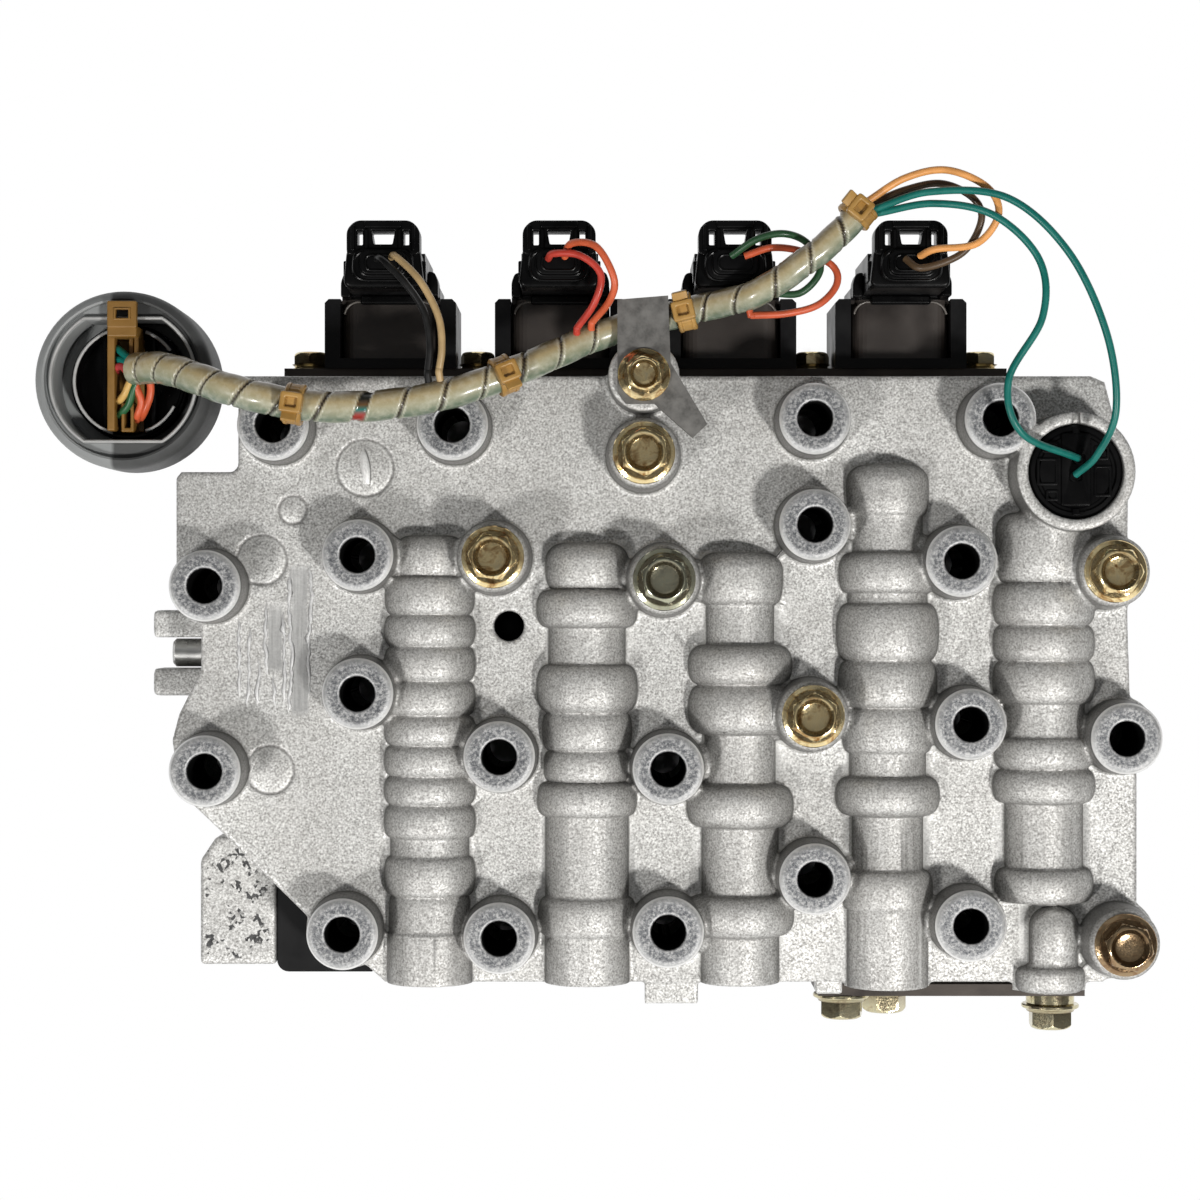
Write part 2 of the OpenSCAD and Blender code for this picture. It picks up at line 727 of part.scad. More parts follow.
module spool_1() { spool(0); }
module spool_2() { spool(1); }
module spool_3() { spool(2); }
module spool_4() { spool(3); }
module spool_5() { spool(4); }
module spring_1() { spool_spring(0); }
module spring_2() { spool_spring(1); }
module spring_3() { spool_spring(2); }
module spring_4() { spool_spring(3); }
module spring_5() { spool_spring(4); }

module bore_plugs() {
  color("lightsteelblue")
    for (i = [0:len(humps) - 1]) {
      r = bore_r(i) - spool_gap;
      slot = keeper_t / 2 + fit_gap;
      translate([humps[i][0], plug_face_y(i), bore_z])
        along_y()
          rotate_extrude()
            polygon([
              [0, 1.5], [r * 0.4, 1.5], [r * 0.4, 0], [r - 0.5, 0], [r, 0.5], [r, plug_l / 2 - slot],
              [r - keeper_depth - fit_gap, plug_l / 2 - slot],
              [r - keeper_depth - fit_gap, plug_l / 2 + slot],
              [r, plug_l / 2 + slot], [r, plug_l], [0, plug_l]
            ]);
    }
}

module plug_keepers() {
  color("slategray")
    for (i = [0:len(humps) - 1]) {
      y = plug_face_y(i) + plug_l / 2;
      box(
        [humps[i][0] - keeper_w / 2, y - keeper_t / 2, deck_foot_z],
        [humps[i][0] + keeper_w / 2, y + keeper_t / 2, bore_z - bore_r(i) + keeper_depth - fit_gap]
      );
    }
}

// Solenoids

function solenoid_x(i) = solenoid_x0 + i * solenoid_pitch;
plate_bolt_x = [for (i = [0:4]) solenoid_x0 + (i - 0.5) * solenoid_pitch];
plate_flange_d = yoke_gap - 0.5;

module at_solenoid(i) {
  translate([solenoid_x(i), solenoid_face_y, solenoid_z])
    children();
}

module solenoid_plate() {
  color([0.22, 0.2, 0.19])
    difference() {
      box(
        [plate_bolt_x[0] - plate_margin, front_y, solenoid_plate_z[0]],
        [plate_bolt_x[4] + plate_margin, solenoid_face_y, solenoid_plate_z[1]]
      );
      for (i = [0:3])
        translate([solenoid_x(i), front_y - past, solenoid_z])
          along_y()
            cylinder(r = snout_r + fit_gap, h = sheet_t + 2 * past);
      for (x = plate_bolt_x)
        translate([x, front_y - past, solenoid_z])
          along_y()
            cylinder(d = small_bolt_d + 0.6, h = sheet_t + 2 * past);
    }
}

module solenoid_plate_bolts() {
  color("goldenrod")
    for (x = plate_bolt_x)
      translate([x, solenoid_face_y, solenoid_z])
        along_y()
          flange_bolt(sheet_t + plate_thread_l - 0.5, small_bolt_d, small_hex_af, plate_flange_d);
}

module solenoid_yoke(i) {
  half = yoke_w / 2;
  shoulder = 2;
  color([0.05, 0.05, 0.055])
    at_solenoid(i)
      difference() {
        union() {
          box([-half, 0, yoke_z[0]], [half, yoke_back_t, yoke_z[1]]);
          for (side = [-1, 1])
            translate([0, 0, yoke_z[0]])
              linear_extrude(yoke_z[1] - yoke_z[0])
                polygon([
                  [side * (half - yoke_side_t), 0], [side * half, 0], [side * half, yoke_y - shoulder / 2],
                  [side * (half - shoulder / 2), yoke_y], [side * (half - yoke_side_t), yoke_y]
                ]);
        }
        translate([0, -past, 0])
          along_y()
            cylinder(r = snout_r + fit_gap, h = yoke_back_t + 2 * past);
      }
}

module solenoid_coil(i) {
  half = coil_w / 2;
  half_h = 12.4;
  round_r = 4;
  wall = 1.6;
  color([0.14, 0.125, 0.12])
    at_solenoid(i)
      difference() {
        union() {
          translate([0, yoke_back_t + fit_gap, 0])
            rotate([-90, 0, 0])
              linear_extrude(yoke_y - yoke_back_t - fit_gap)
                polygon([
                  for (corner = [0:3])
                    let(x = (corner == 0 || corner == 3 ? 1 : -1) * (half - round_r))
                    let(y = (corner < 2 ? 1 : -1) * (half_h - round_r))
                    for (turn = [corner * 90:15:corner * 90 + 90])
                      [x + round_r * cos(turn), y + round_r * sin(turn)]
                ]);
          translate([0, 0, -8])
            linear_extrude(tower_z[0] + 6)
              polygon([
                [-half, yoke_y - past], [half, yoke_y - past], [half, yoke_y + 3],
                [tower_w / 2, yoke_y + 6.5],
                [tower_w / 2, tower_y[1]], [-tower_w / 2, tower_y[1]], [-tower_w / 2, yoke_y + 6.5],
                [-half, yoke_y + 3]
              ]);
          box([-tower_w / 2, tower_y[0], 5], [tower_w / 2, tower_y[1], tower_z[1]]);
        }
        box(
          [-tower_w / 2 + wall, tower_y[0] + wall, 8],
          [tower_w / 2 - wall, tower_y[1] - wall, tower_z[1] + past]
        );
        along_y()
          cylinder(r = core_r + fit_gap, h = yoke_y - 2);
      }
}

module solenoid_core(i) {
  bore = plunger_r + 0.05;
  color("lightgray")
    at_solenoid(i)
      translate([0, -sheet_t, 0])
        along_y()
          rotate_extrude()
            polygon([
              [2, -snout_l], [snout_r - 1, -snout_l], [snout_r, -snout_l + 1],
              for (z = seal_z)
                each [
                  [snout_r, z - 1], [snout_r - 1.3, z - 1], [snout_r - 1.3, z + 1], [snout_r, z + 1]
                ],
              [snout_r, sheet_t + yoke_back_t], [core_r, sheet_t + yoke_back_t], [core_r, sheet_t + 15],
              [bore, sheet_t + 15], [bore, -8], [2, -8]
            ]);
}
// Distances of the seals from the solenoid face of the castings
seal_z = [-20, -8];

module solenoid_seals() {
  color("black")
    for (i = [0:3])
      for (z = seal_z)
        translate([solenoid_x(i), front_y + z, solenoid_z])
          along_y()
            rotate_extrude()
              translate([snout_r - 1.3 + seal_r + 0.02, 0])
                circle(r = seal_r, $fn = 24);
}

module solenoid_plunger(i) {
  color("gray")
    at_solenoid(i)
      translate([0, -sheet_t, 0])
        along_y()
          rotate_extrude()
            polygon([
              [0, -11], [1.2, -11], [1.9, -9.5], [1.9, -8 + plunger_travel + stop_gap],
              [plunger_r, -8 + plunger_travel + stop_gap], [plunger_r, sheet_t + 12], [0, sheet_t + 12]
            ]);
}

module solenoid_plug(i) {
  half = plug_w / 2;
  wall = 1.6 + fit_gap;
  arm = 2.6;
  frame_z = [30, 38];
  color([0.04, 0.04, 0.045])
    at_solenoid(i) {
      difference() {
        union() {
          box(
            [-tower_w / 2 + wall, tower_y[0] + wall, 9],
            [tower_w / 2 - wall, tower_y[1] - wall, plug_z[0] + past]
          );
          translate([0, 0, plug_z[0]])
            linear_extrude(plug_z[1] - plug_z[0] - 3)
              polygon([
                [-half - 1, plug_y[0]], [half + 1, plug_y[0]], [half, plug_y[1]], [-half, plug_y[1]]
              ]);
          box([-half + 2.4, plug_y[0] + 1.6, plug_z[0]], [half - 2.4, plug_y[1] - 0.8, plug_z[1]]);
          translate([0, 0, frame_z[0]])
            linear_extrude(frame_z[1] - frame_z[0])
              polygon([
                [-half, plug_y[1] - past], [half, plug_y[1] - past], [half, plug_reach - 2.4],
                [half - 2.4, plug_reach], [-half + 2.4, plug_reach], [-half, plug_reach - 2.4]
              ]);
        }
        for (side = [-1, 1])
          box(
            [side * 5.5 - 0.7, plug_y[1] + 0.2, frame_z[0] - past],
            [side * 5.5 + 0.7, plug_reach - arm, frame_z[1] + past]
          );
        translate([0, 0, frame_z[0] - past])
          linear_extrude(frame_z[1] - frame_z[0] + 2 * past)
            polygon([
              [-2.3, plug_y[1] + 0.4], [2.3, plug_y[1] + 0.4], [2.9, plug_reach - arm],
              [-2.9, plug_reach - arm]
            ]);
      }
    }
}

module solenoid_1_yoke() { solenoid_yoke(0); }
module solenoid_2_yoke() { solenoid_yoke(1); }
module solenoid_3_yoke() { solenoid_yoke(2); }
module solenoid_4_yoke() { solenoid_yoke(3); }
module solenoid_1_coil() { solenoid_coil(0); }
module solenoid_2_coil() { solenoid_coil(1); }
module solenoid_3_coil() { solenoid_coil(2); }
module solenoid_4_coil() { solenoid_coil(3); }
module solenoid_1_core() { solenoid_core(0); }
module solenoid_2_core() { solenoid_core(1); }
module solenoid_3_core() { solenoid_core(2); }
module solenoid_4_core() { solenoid_core(3); }
module solenoid_1_plunger() { solenoid_plunger(0); }
module solenoid_2_plunger() { solenoid_plunger(1); }
module solenoid_3_plunger() { solenoid_plunger(2); }
module solenoid_4_plunger() { solenoid_plunger(3); }
module solenoid_1_plug() { solenoid_plug(0); }
module solenoid_2_plug() { solenoid_plug(1); }
module solenoid_3_plug() { solenoid_plug(2); }
module solenoid_4_plug() { solenoid_plug(3); }

// Cover plate on the face with the bore mouths

module cover_plate() {
  face = -back_y - spacer_t;
  color([0.22, 0.2, 0.19])
    difference() {
      union() {
        box([cover_x[0] + 2, face - past, cover_z[0] + 2], [cover_x[1] - 2, -back_y, cover_z[1] - spacer_drop]);
        box([cover_x[0], face - sheet_t, cover_z[0]], [cover_x[1], face, cover_z[1]]);
      }
      for (p = cover_bolt_at)
        translate([p[0], face - sheet_t - past, p[1]])
          along_y()
            cylinder(d = bolt_d + 0.6, h = sheet_t + spacer_t + 2 * past);
    }
}

module cover_bolts() {
  color("darkkhaki")
    for (p = cover_bolt_at)
      translate([p[0], -back_y - spacer_t - sheet_t, p[1]])
        rotate([90, 0, 0]) {
          translate([0, 0, p[2]])
            flange_bolt(p[2] + sheet_t + spacer_t + plate_thread_l - 0.5);
          if (p[2] > 0)
            cylinder(d = washer_d, h = p[2]);
        }
}

// Harness bracket, sensor and their fastening

module harness_bracket() {
  half = bracket_w / 2;
  foot_y = bracket_at[1];
  color("darkgray")
    translate([bracket_at[0], 0, boss_z])
      difference() {
        linear_extrude(bracket_t)
          polygon([
            [-half + 2, foot_y - 7], [half - 4, foot_y - 7], [half + 5.4, foot_y - 15.4],
            [half + 9, foot_y - 12], [half, foot_y + 3], [half - 0.6, foot_y + bracket_reach],
            [-half, foot_y + bracket_reach - 1], [-half, foot_y - 4]
          ]);
        translate([0, foot_y, -past])
          cylinder(d = small_bolt_d + 0.6, h = bracket_t + 2 * past);
      }
}

module bracket_bolt() {
  color("goldenrod")
    translate([bracket_at[0], bracket_at[1], boss_z + bracket_t])
      flange_bolt(bracket_t + clamp_thread_l - 1, small_bolt_d, small_hex_af, bracket_flange_d);
}

module temperature_sensor() {
  face = boss_z - 0.9;
  color([0.05, 0.05, 0.055])
    translate([sensor_at[0], sensor_at[1], 0])
      difference() {
        union() {
          translate([0, 0, deck_z - past + fit_gap])
            cylinder(d = sensor_d, h = face - deck_z + past - fit_gap);
          box([-3.6, -8.6, face - past], [3.6, 9.6, face + 0.5]);
        }
        box([-10, -3.4, face - 0.6], [-4.4, 3.4, face + past]);
        box([4.4, -6.2, face - 0.6], [8.8, 1.6, face + past]);
        box([-8.6, 4.6, face - 0.5], [-4.2, 7.6, face + past]);
        for (x = [-0.4, 0.6])
          translate([x, x < 0 ? -0.9 : 3.1, face - 1.4])
            cylinder(d = wire_d + 0.4, h = 3);
      }
}

// Wiring

module loom() {
  color("darkkhaki")
    tube(loom_route, loom_d / 2, 12, loom_end_d / 2);
}

module leads(routes) {
  for (p = routes)
    tube(p, wire_d / 2, 8);
}

module solenoid_1_leads() { color("tan") leads(leads_1); }
module solenoid_2_leads() { color("orangered") leads(leads_2); }
module solenoid_3_leads() { color("darkgreen") leads(leads_3); }
module solenoid_4_leads() { color("sandybrown") leads(leads_4); }
module sensor_leads() { color("teal") leads(sensor_leads_routes); }

module cable_ties() {
  head_h = 4.4;
  head_w = 5.2;
  color("peru")
    for (t = tie_spots) {
      a = loom_route[t[0]];
      b = loom_route[t[0] + 1];
      way = unit(b - a);
      share = (t[0] + t[1]) / (len(loom_route) - 1);
      inner = (loom_d + (loom_end_d - loom_d) * share) / 2 + fit_gap;
      translate(a + t[1] * (b - a))
        rotate([0, -asin(way[2]), atan2(way[1], way[0])])
          rotate([0, 90, 0])
            translate([0, 0, -tie_w / 2]) {
              rotate_extrude()
                translate([inner, 0])
                  square([tie_t, tie_w]);
              box([-inner - head_h, -head_w / 2, -0.6], [-inner - tie_t / 2, head_w / 2, tie_w + 0.6]);
            }
    }
}

// Case connector

module keyed_circle(r, flat) {
  intersection() {
    circle(r = r);
    square([4 * r, 2 * flat], center = true);
  }
}

module connector_shell() {
  floor_z = 30;
  rim_z = connector_h - 6;
  color([0.5, 0.51, 0.51])
    translate([connector_at[0], connector_at[1], 0])
      difference() {
        rotate_extrude()
          polygon([
            [0, 0], [connector_barrel_d / 2, 0], [connector_barrel_d / 2, 8],
            [connector_barrel_d / 2 - 1.5, 8], [connector_barrel_d / 2 - 1.5, 11],
            [connector_barrel_d / 2, 11], [connector_barrel_d / 2, connector_flange_z],
            [connector_d / 2, connector_flange_z + 3], [connector_d / 2, connector_h - 1],
            [connector_d / 2 - 1, connector_h], [0, connector_h]
          ]);
        translate([0, 0, floor_z])
          linear_extrude(connector_h - floor_z + past)
            keyed_circle(connector_rim_r - 1.6, connector_flat - 1);
        translate([0, 0, rim_z])
          linear_extrude(connector_h)
            difference() {
              circle(r = connector_d / 2 - 2.2);
              keyed_circle(connector_rim_r, connector_flat + 0.6);
            }
        translate([0, 0, connector_h - 1.5])
          linear_extrude(connector_h)
            keyed_circle(connector_rim_r + past, connector_flat + past);
        translate([0, 0, -past])
          cylinder(r = connector_socket_r, h = floor_z + 2 * past);
      }
}

module connector_insert() {
  pin_d = 1.6;
  top = connector_h - 9;
  wall = 1.2;
  color([0.05, 0.05, 0.055])
    translate([connector_at[0], connector_at[1], 0]) {
      difference() {
        union() {
          translate([0, 0, connector_socket_h])
            cylinder(r = connector_socket_r - fit_gap, h = top - connector_socket_h);
        }
        translate([0, 0, top - 5])
          cylinder(r = connector_socket_r - fit_gap - wall, h = 5 + past);
      }
      for (x = [-8:4:8])
        for (y = [-3, 3])
          translate([x, y, connector_socket_h - 6])
            cylinder(d = pin_d, h = 6 + past, $fn = 16);
    }
}

module terminal_retainer() {
  base = connector_h - 14;
  low_top = base + 6;
  leg = 1.8;
  w = 7;
  hook_y = 19.2;
  color("peru")
    translate([connector_at[0], connector_at[1], 0])
      difference() {
        union() {
          box([-w / 2, -11.6, base + fit_gap], [w / 2, 11.6, low_top]);
          box([-w / 2, 7.2, low_top - past], [w / 2, 13.4, connector_h + 2.4]);
          box([-w / 2, 13, connector_h + fit_gap], [w / 2, hook_y, connector_h + 2.4]);
          box([-w / 2, -11.6, low_top - past], [-w / 2 + leg, 12, connector_h - 2]);
        }
        box([-w / 2 + leg, -10.2, base + 1.5], [w / 2 - leg, 6, connector_h]);
        box([-1.9, 14.6, base], [1.9, 17, connector_h + 4]);
      }
}

module connector_seal() {
  color("black")
    translate([connector_at[0], connector_at[1], 9.5])
      rotate_extrude()
        translate([connector_barrel_d / 2 - 0.2, 0])
          circle(r = 1.28, $fn = 24);
}

upper_body();
upper_gasket();
separator_plate();
lower_gasket();
lower_body();
corner_cover();
body_bolts();
check_balls();
manual_valve();
spool_1();
spool_2();
spool_3();
spool_4();
spool_5();
spring_1();
spring_2();
spring_3();
spring_4();
spring_5();
bore_plugs();
plug_keepers();
solenoid_plate();
solenoid_plate_bolts();
solenoid_seals();
solenoid_1_yoke();
solenoid_2_yoke();
solenoid_3_yoke();
solenoid_4_yoke();
solenoid_1_coil();
solenoid_2_coil();
solenoid_3_coil();
solenoid_4_coil();
solenoid_1_core();
solenoid_2_core();
solenoid_3_core();
solenoid_4_core();
solenoid_1_plunger();
solenoid_2_plunger();
solenoid_3_plunger();
solenoid_4_plunger();
solenoid_1_plug();
solenoid_2_plug();
solenoid_3_plug();
solenoid_4_plug();
cover_plate();
cover_bolts();
harness_bracket();
bracket_bolt();
temperature_sensor();
loom();
solenoid_1_leads();
solenoid_2_leads();
solenoid_3_leads();
solenoid_4_leads();
sensor_leads();
cable_ties();
connector_shell();
connector_insert();
terminal_retainer();
connector_seal();
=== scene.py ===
import math
import random
import bpy
import bmesh
import numpy as np
from mathutils import Matrix, Vector, noise


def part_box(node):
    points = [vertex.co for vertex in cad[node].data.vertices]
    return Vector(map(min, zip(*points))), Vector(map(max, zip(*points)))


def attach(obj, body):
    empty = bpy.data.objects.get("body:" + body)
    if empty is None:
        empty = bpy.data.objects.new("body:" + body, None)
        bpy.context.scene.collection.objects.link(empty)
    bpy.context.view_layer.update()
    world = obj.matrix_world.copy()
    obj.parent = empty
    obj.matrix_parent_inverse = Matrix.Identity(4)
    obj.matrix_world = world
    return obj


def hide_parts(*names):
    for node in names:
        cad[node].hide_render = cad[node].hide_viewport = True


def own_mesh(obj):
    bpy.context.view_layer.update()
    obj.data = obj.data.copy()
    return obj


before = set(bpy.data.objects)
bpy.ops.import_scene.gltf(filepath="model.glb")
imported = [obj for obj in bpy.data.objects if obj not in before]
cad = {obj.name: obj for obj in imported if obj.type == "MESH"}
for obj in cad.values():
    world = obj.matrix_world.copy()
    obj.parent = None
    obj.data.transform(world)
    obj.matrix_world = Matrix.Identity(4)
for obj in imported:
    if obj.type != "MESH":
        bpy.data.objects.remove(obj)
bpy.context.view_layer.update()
scene = bpy.context.scene
mm = 0.001
tau = 2 * math.pi
print("frame loaded:", len(cad), "pieces")

# heights and faces shared with the solids, in mm
stack = {"deck": 40.4, "boss": 54.4, "solenoidFace": 79.0, "solenoidAxis": 14.0}

# camera straight above, for a square picture
shot = {"at": (-13.75, 20, 740.4), "lens": 84, "sensor": 36, "near": 0.02, "far": 20}
camData = bpy.data.cameras.new("topCamera")
camData.lens = shot["lens"]
camData.sensor_width = shot["sensor"]
camData.clip_start, camData.clip_end = shot["near"], shot["far"]
camera = bpy.data.objects.new("topCamera", camData)
camera.location = Vector(shot["at"]) * mm
scene.collection.objects.link(camera)
scene.camera = camera
scene.view_settings.view_transform = "Standard"


# node helpers

class Sheet:
    # a material's node tree with short ways to add nodes to it
    def __init__(self, name):
        self.mat = bpy.data.materials.new(name)
        self.mat.use_nodes = True
        self.tree = self.mat.node_tree
        self.tree.nodes.clear()
        self.out = self.add("ShaderNodeOutputMaterial")
        self.skin = self.add("ShaderNodeBsdfPrincipled")
        self.link(self.skin.outputs[0], self.out.inputs["Surface"])
        place = self.add("ShaderNodeTexCoord")
        grid = self.add("ShaderNodeVectorMath")
        grid.operation = "SCALE"
        grid.inputs["Scale"].default_value = 1000
        self.link(place.outputs["Object"], grid.inputs[0])
        self.spot = grid.outputs[0]                # object coordinates in mm

    def add(self, kind, **values):
        node = self.tree.nodes.new(kind)
        for key, value in values.items():
            setattr(node, key, value)
        return node

    def link(self, a, b):
        self.tree.links.new(a, b)

    def put(self, socket, value):
        if isinstance(value, bpy.types.NodeSocket):
            self.link(value, socket)
        else:
            socket.default_value = value

    def set(self, **values):
        for key, value in values.items():
            self.put(self.skin.inputs[key.replace("_", " ")], value)

    def noise(self, scale, detail=2, rough=0.5, spot=None, warp=0):
        n = self.add("ShaderNodeTexNoise")
        n.inputs["Scale"].default_value = scale
        n.inputs["Detail"].default_value = detail
        n.inputs["Roughness"].default_value = rough
        n.inputs["Distortion"].default_value = warp
        self.link(spot or self.spot, n.inputs["Vector"])
        return n.outputs["Fac"]

    def cells(self, scale, spot=None):
        n = self.add("ShaderNodeTexVoronoi")
        n.inputs["Scale"].default_value = scale
        self.link(spot or self.spot, n.inputs["Vector"])
        return n.outputs

    def ramp(self, fac, *stops):
        n = self.add("ShaderNodeValToRGB")
        band = n.color_ramp
        while len(band.elements) < len(stops):
            band.elements.new(0.5)
        for e, (at, color) in zip(band.elements, stops):
            e.position = at
            shade = color if isinstance(color, (tuple, list)) else (color, color, color)
            e.color = (*shade[:3], 1)
        self.link(fac, n.inputs["Fac"])
        return n.outputs["Color"]

    def span(self, fac, low, high, to0=0.0, to1=1.0):
        n = self.add("ShaderNodeMapRange")
        n.inputs["From Min"].default_value = low
        n.inputs["From Max"].default_value = high
        n.inputs["To Min"].default_value = to0
        n.inputs["To Max"].default_value = to1
        self.link(fac, n.inputs["Value"])
        return n.outputs[0]

    def math(self, op, a, b=0.0):
        n = self.add("ShaderNodeMath", operation=op)
        self.put(n.inputs[0], a)
        self.put(n.inputs[1], b)
        return n.outputs[0]

    def times(self, *values):
        out = values[0]
        for v in values[1:]:
            out = self.math("MULTIPLY", out, v)
        return out

    def plus(self, a, b):
        return self.math("ADD", a, b)

    def minus(self, a, b):
        return self.math("SUBTRACT", a, b)

    def size(self, a):
        return self.math("ABSOLUTE", a)

    def band(self, value, low, high, soft):
        # 1 between low and high, falling to 0 at both over the soft width
        return self.times(self.span(value, low, low + soft), self.span(value, high, high - soft))

    def mix(self, fac, a, b):
        n = self.add("ShaderNodeMix", data_type="RGBA")
        self.put(n.inputs[0], fac)
        for socket, value in ((n.inputs[6], a), (n.inputs[7], b)):
            if isinstance(value, (tuple, list)):
                value = (*value[:3], 1)
            self.put(socket, value)
        return n.outputs[2]

    def blendValue(self, fac, a, b):
        n = self.add("ShaderNodeMix", data_type="FLOAT")
        for socket, value in ((n.inputs[0], fac), (n.inputs[2], a), (n.inputs[3], b)):
            self.put(socket, value)
        return n.outputs[0]

    def bump(self, height, strength, depth, under=None):
        n = self.add("ShaderNodeBump")
        n.inputs["Strength"].default_value = strength
        n.inputs["Distance"].default_value = depth * mm
        self.link(height, n.inputs["Height"])
        if under is not None:
            self.link(under, n.inputs["Normal"])
        return n.outputs["Normal"]

    def value(self, name):
        n = self.add("ShaderNodeAttribute", attribute_name=name)
        return n.outputs["Fac"]

    def stretch(self, sizes):
        n = self.add("ShaderNodeVectorMath", operation="MULTIPLY")
        self.link(self.spot, n.inputs[0])
        n.inputs[1].default_value = sizes
        return n.outputs[0]

    def axes(self, spot=None):
        n = self.add("ShaderNodeSeparateXYZ")
        self.link(spot or self.spot, n.inputs[0])
        return n.outputs

    def pointedShare(self, low, high):
        # share of edge at this point, from how pointed the mesh is
        n = self.add("ShaderNodeNewGeometry")
        return self.span(n.outputs["Pointiness"], low, high)

    def steep(self, low, high):
        # share of wall at this point, from how far the surface turns from level
        n = self.add("ShaderNodeNewGeometry")
        return self.span(self.math("ABSOLUTE", self.axes(n.outputs["Normal"])[2]), high, low)


# moulded and coated finishes share one recipe with their own numbers
def coatedFinish(name, spec):
    s = Sheet(name)
    patch = s.noise(spec.get("patch", 0.12), 3, 0.55)
    grain = s.noise(spec.get("grain", 3.0), 3, 0.6)
    deep, pale = spec["deep"], spec["pale"]
    color = s.mix(s.span(patch, 0.3, 0.7), deep, pale)
    color = s.mix(s.span(grain, 0.35, 0.75, 0, spec.get("fleck", 0.25)), color, pale)
    rough = s.span(patch, 0.3, 0.7, spec["rough"] - 0.07, spec["rough"] + 0.07)
    s.set(Base_Color=color, Roughness=rough, Metallic=spec.get("metal", 0.0))
    s.set(Normal=s.bump(grain, 0.2, 0.06))
    if "coat" in spec:
        s.set(Coat_Weight=spec["coat"], Coat_Roughness=0.2)
    if "specular" in spec:
        s.set(Specular_IOR_Level=spec["specular"])
    return s.mat


# grainy die casting: grain and flakes, then the tints of raised places, stains and edges, then painted shade on
# walls, at their foot and in corners, and a painted highlight on the fillets
casting = {"deep": (0.26, 0.255, 0.245), "mid": (0.54, 0.538, 0.525), "pale": (0.82, 0.82, 0.805),
           "raised": (0.34, 0.33, 0.315), "stain": (0.37, 0.35, 0.325), "edge": (0.82, 0.82, 0.8),
           # painted shade for walls, their foot and corners; the fillet colour below is a painted highlight
           "wall": (0.13, 0.126, 0.12), "paintedCreaseShade": (0.04, 0.038, 0.036), "corner": (0.2, 0.19, 0.18),
           "paintedFilletHighlight": (0.92, 0.92, 0.9), "metal": 0.58, "rough": 0.58, "grain": 1.9, "flake": 1.5}

# marks on the deck: strips where raised marks were ground off (x low, x high, y low, y high), outlines of
# round mould marks (x, y, radius) and the slot of the date dial (x, y, turn), with their depths and tints
# the line and lip colours are painted shade and a painted highlight; shine and shade are painted light on the slot
deckMarks = {"ground": [(-91.2, -86.6, -9.4, 29.2), (-97.0, -93.0, 1.6, 19.4)],
             "rings": [(-98.3, 30, 6.2), (-96.3, -22.5, 6.0), (-90.5, 42.5, 3.5), (-72.5, 53, 7.1)],
             "slot": (-72.4, 53.2, math.radians(98)), "slotWide": 1.2, "slotLong": 4.6, "slotRise": 0.8,
             "scoop": 0.12, "ringRise": 0.04, "ringDeep": 0.3, "ringHalf": 0.35,
             "bare": (0.38, 0.38, 0.375), "scraped": (0.58, 0.58, 0.57), "line": (0.13, 0.125, 0.12),
             "lip": (0.88, 0.88, 0.86), "shine": (0.86, 0.86, 0.85), "shade": (0.1, 0.1, 0.095)}

# lower casting: dark speckle on the corner block (x low, x high, y low, y high) and the milled case face
caseSide = {"block": (-114.6, -98, -71.6, -42.5), "blockZ": (22, 33), "speck": (0.02, 0.02, 0.022),
            "cutDark": (0.5, 0.5, 0.49), "cutPale": (0.68, 0.68, 0.67), "cutRough": 0.3}


def castPaintedShade(s, color, above, patch, spec):
    # painted shade: steep walls are painted darker, most of all near the foot, and so are concave corners; a painted
    # highlight runs along the fillet where it meets the deck
    wall = s.times(s.steep(0.2, 0.72), s.span(above, 0.5, 1.2))
    footShade = s.span(s.plus(above, s.times(patch, 4)), 7.5, 3.5)
    hollow = s.pointedShare(0.48, 0.42)
    color = s.mix(s.times(wall, 0.64), color, spec["wall"])
    color = s.mix(s.times(wall, footShade, 0.6), color, spec["paintedCreaseShade"])
    color = s.mix(s.times(hollow, s.span(above, 1.0, 2.0), 0.5), color, spec["corner"])
    return s.mix(s.times(hollow, s.span(above, 1.6, 0.8), 0.75), color, spec["paintedFilletHighlight"])


def groundStrips(s, color, rough, low, spec):
    x, y = s.axes()[:2]
    sides = s.plus(x, s.times(s.minus(s.noise(0.5, 2, 0.5), 0.5), 1.6))        # ragged along both sides
    scrape = s.noise(1.0, 3, 0.6, s.stretch((2.2, 0.1, 1)))
    bare = s.mix(s.span(scrape, 0.3, 0.7), spec["bare"], spec["scraped"])
    for x0, x1, y0, y1 in spec["ground"]:
        strip = s.times(s.band(sides, x0, x1, 0.5), s.band(y, y0, y1, 2), low)
        color = s.mix(s.times(strip, 0.85), color, bare)
        rough = s.blendValue(strip, rough, 0.4)
    return color, rough


def ringOutlines(s, color, low, spec):
    x, y = s.axes()[:2]
    for cx, cy, r in spec["rings"]:
        dx, dy = s.minus(x, cx), s.minus(y, cy)
        gap = s.minus(s.math("SQRT", s.plus(s.times(dx, dx), s.times(dy, dy))), r)
        line = s.span(s.size(gap), 0.5, 0.15)
        lip = s.span(s.size(s.plus(gap, 0.7)), 0.4, 0.1)
        # painted shade along the groove of each outline, and a painted highlight on its inner lip
        color = s.mix(s.times(line, low, 0.6), color, spec["line"])
        color = s.mix(s.times(lip, low, 0.25), color, spec["lip"])
    return color


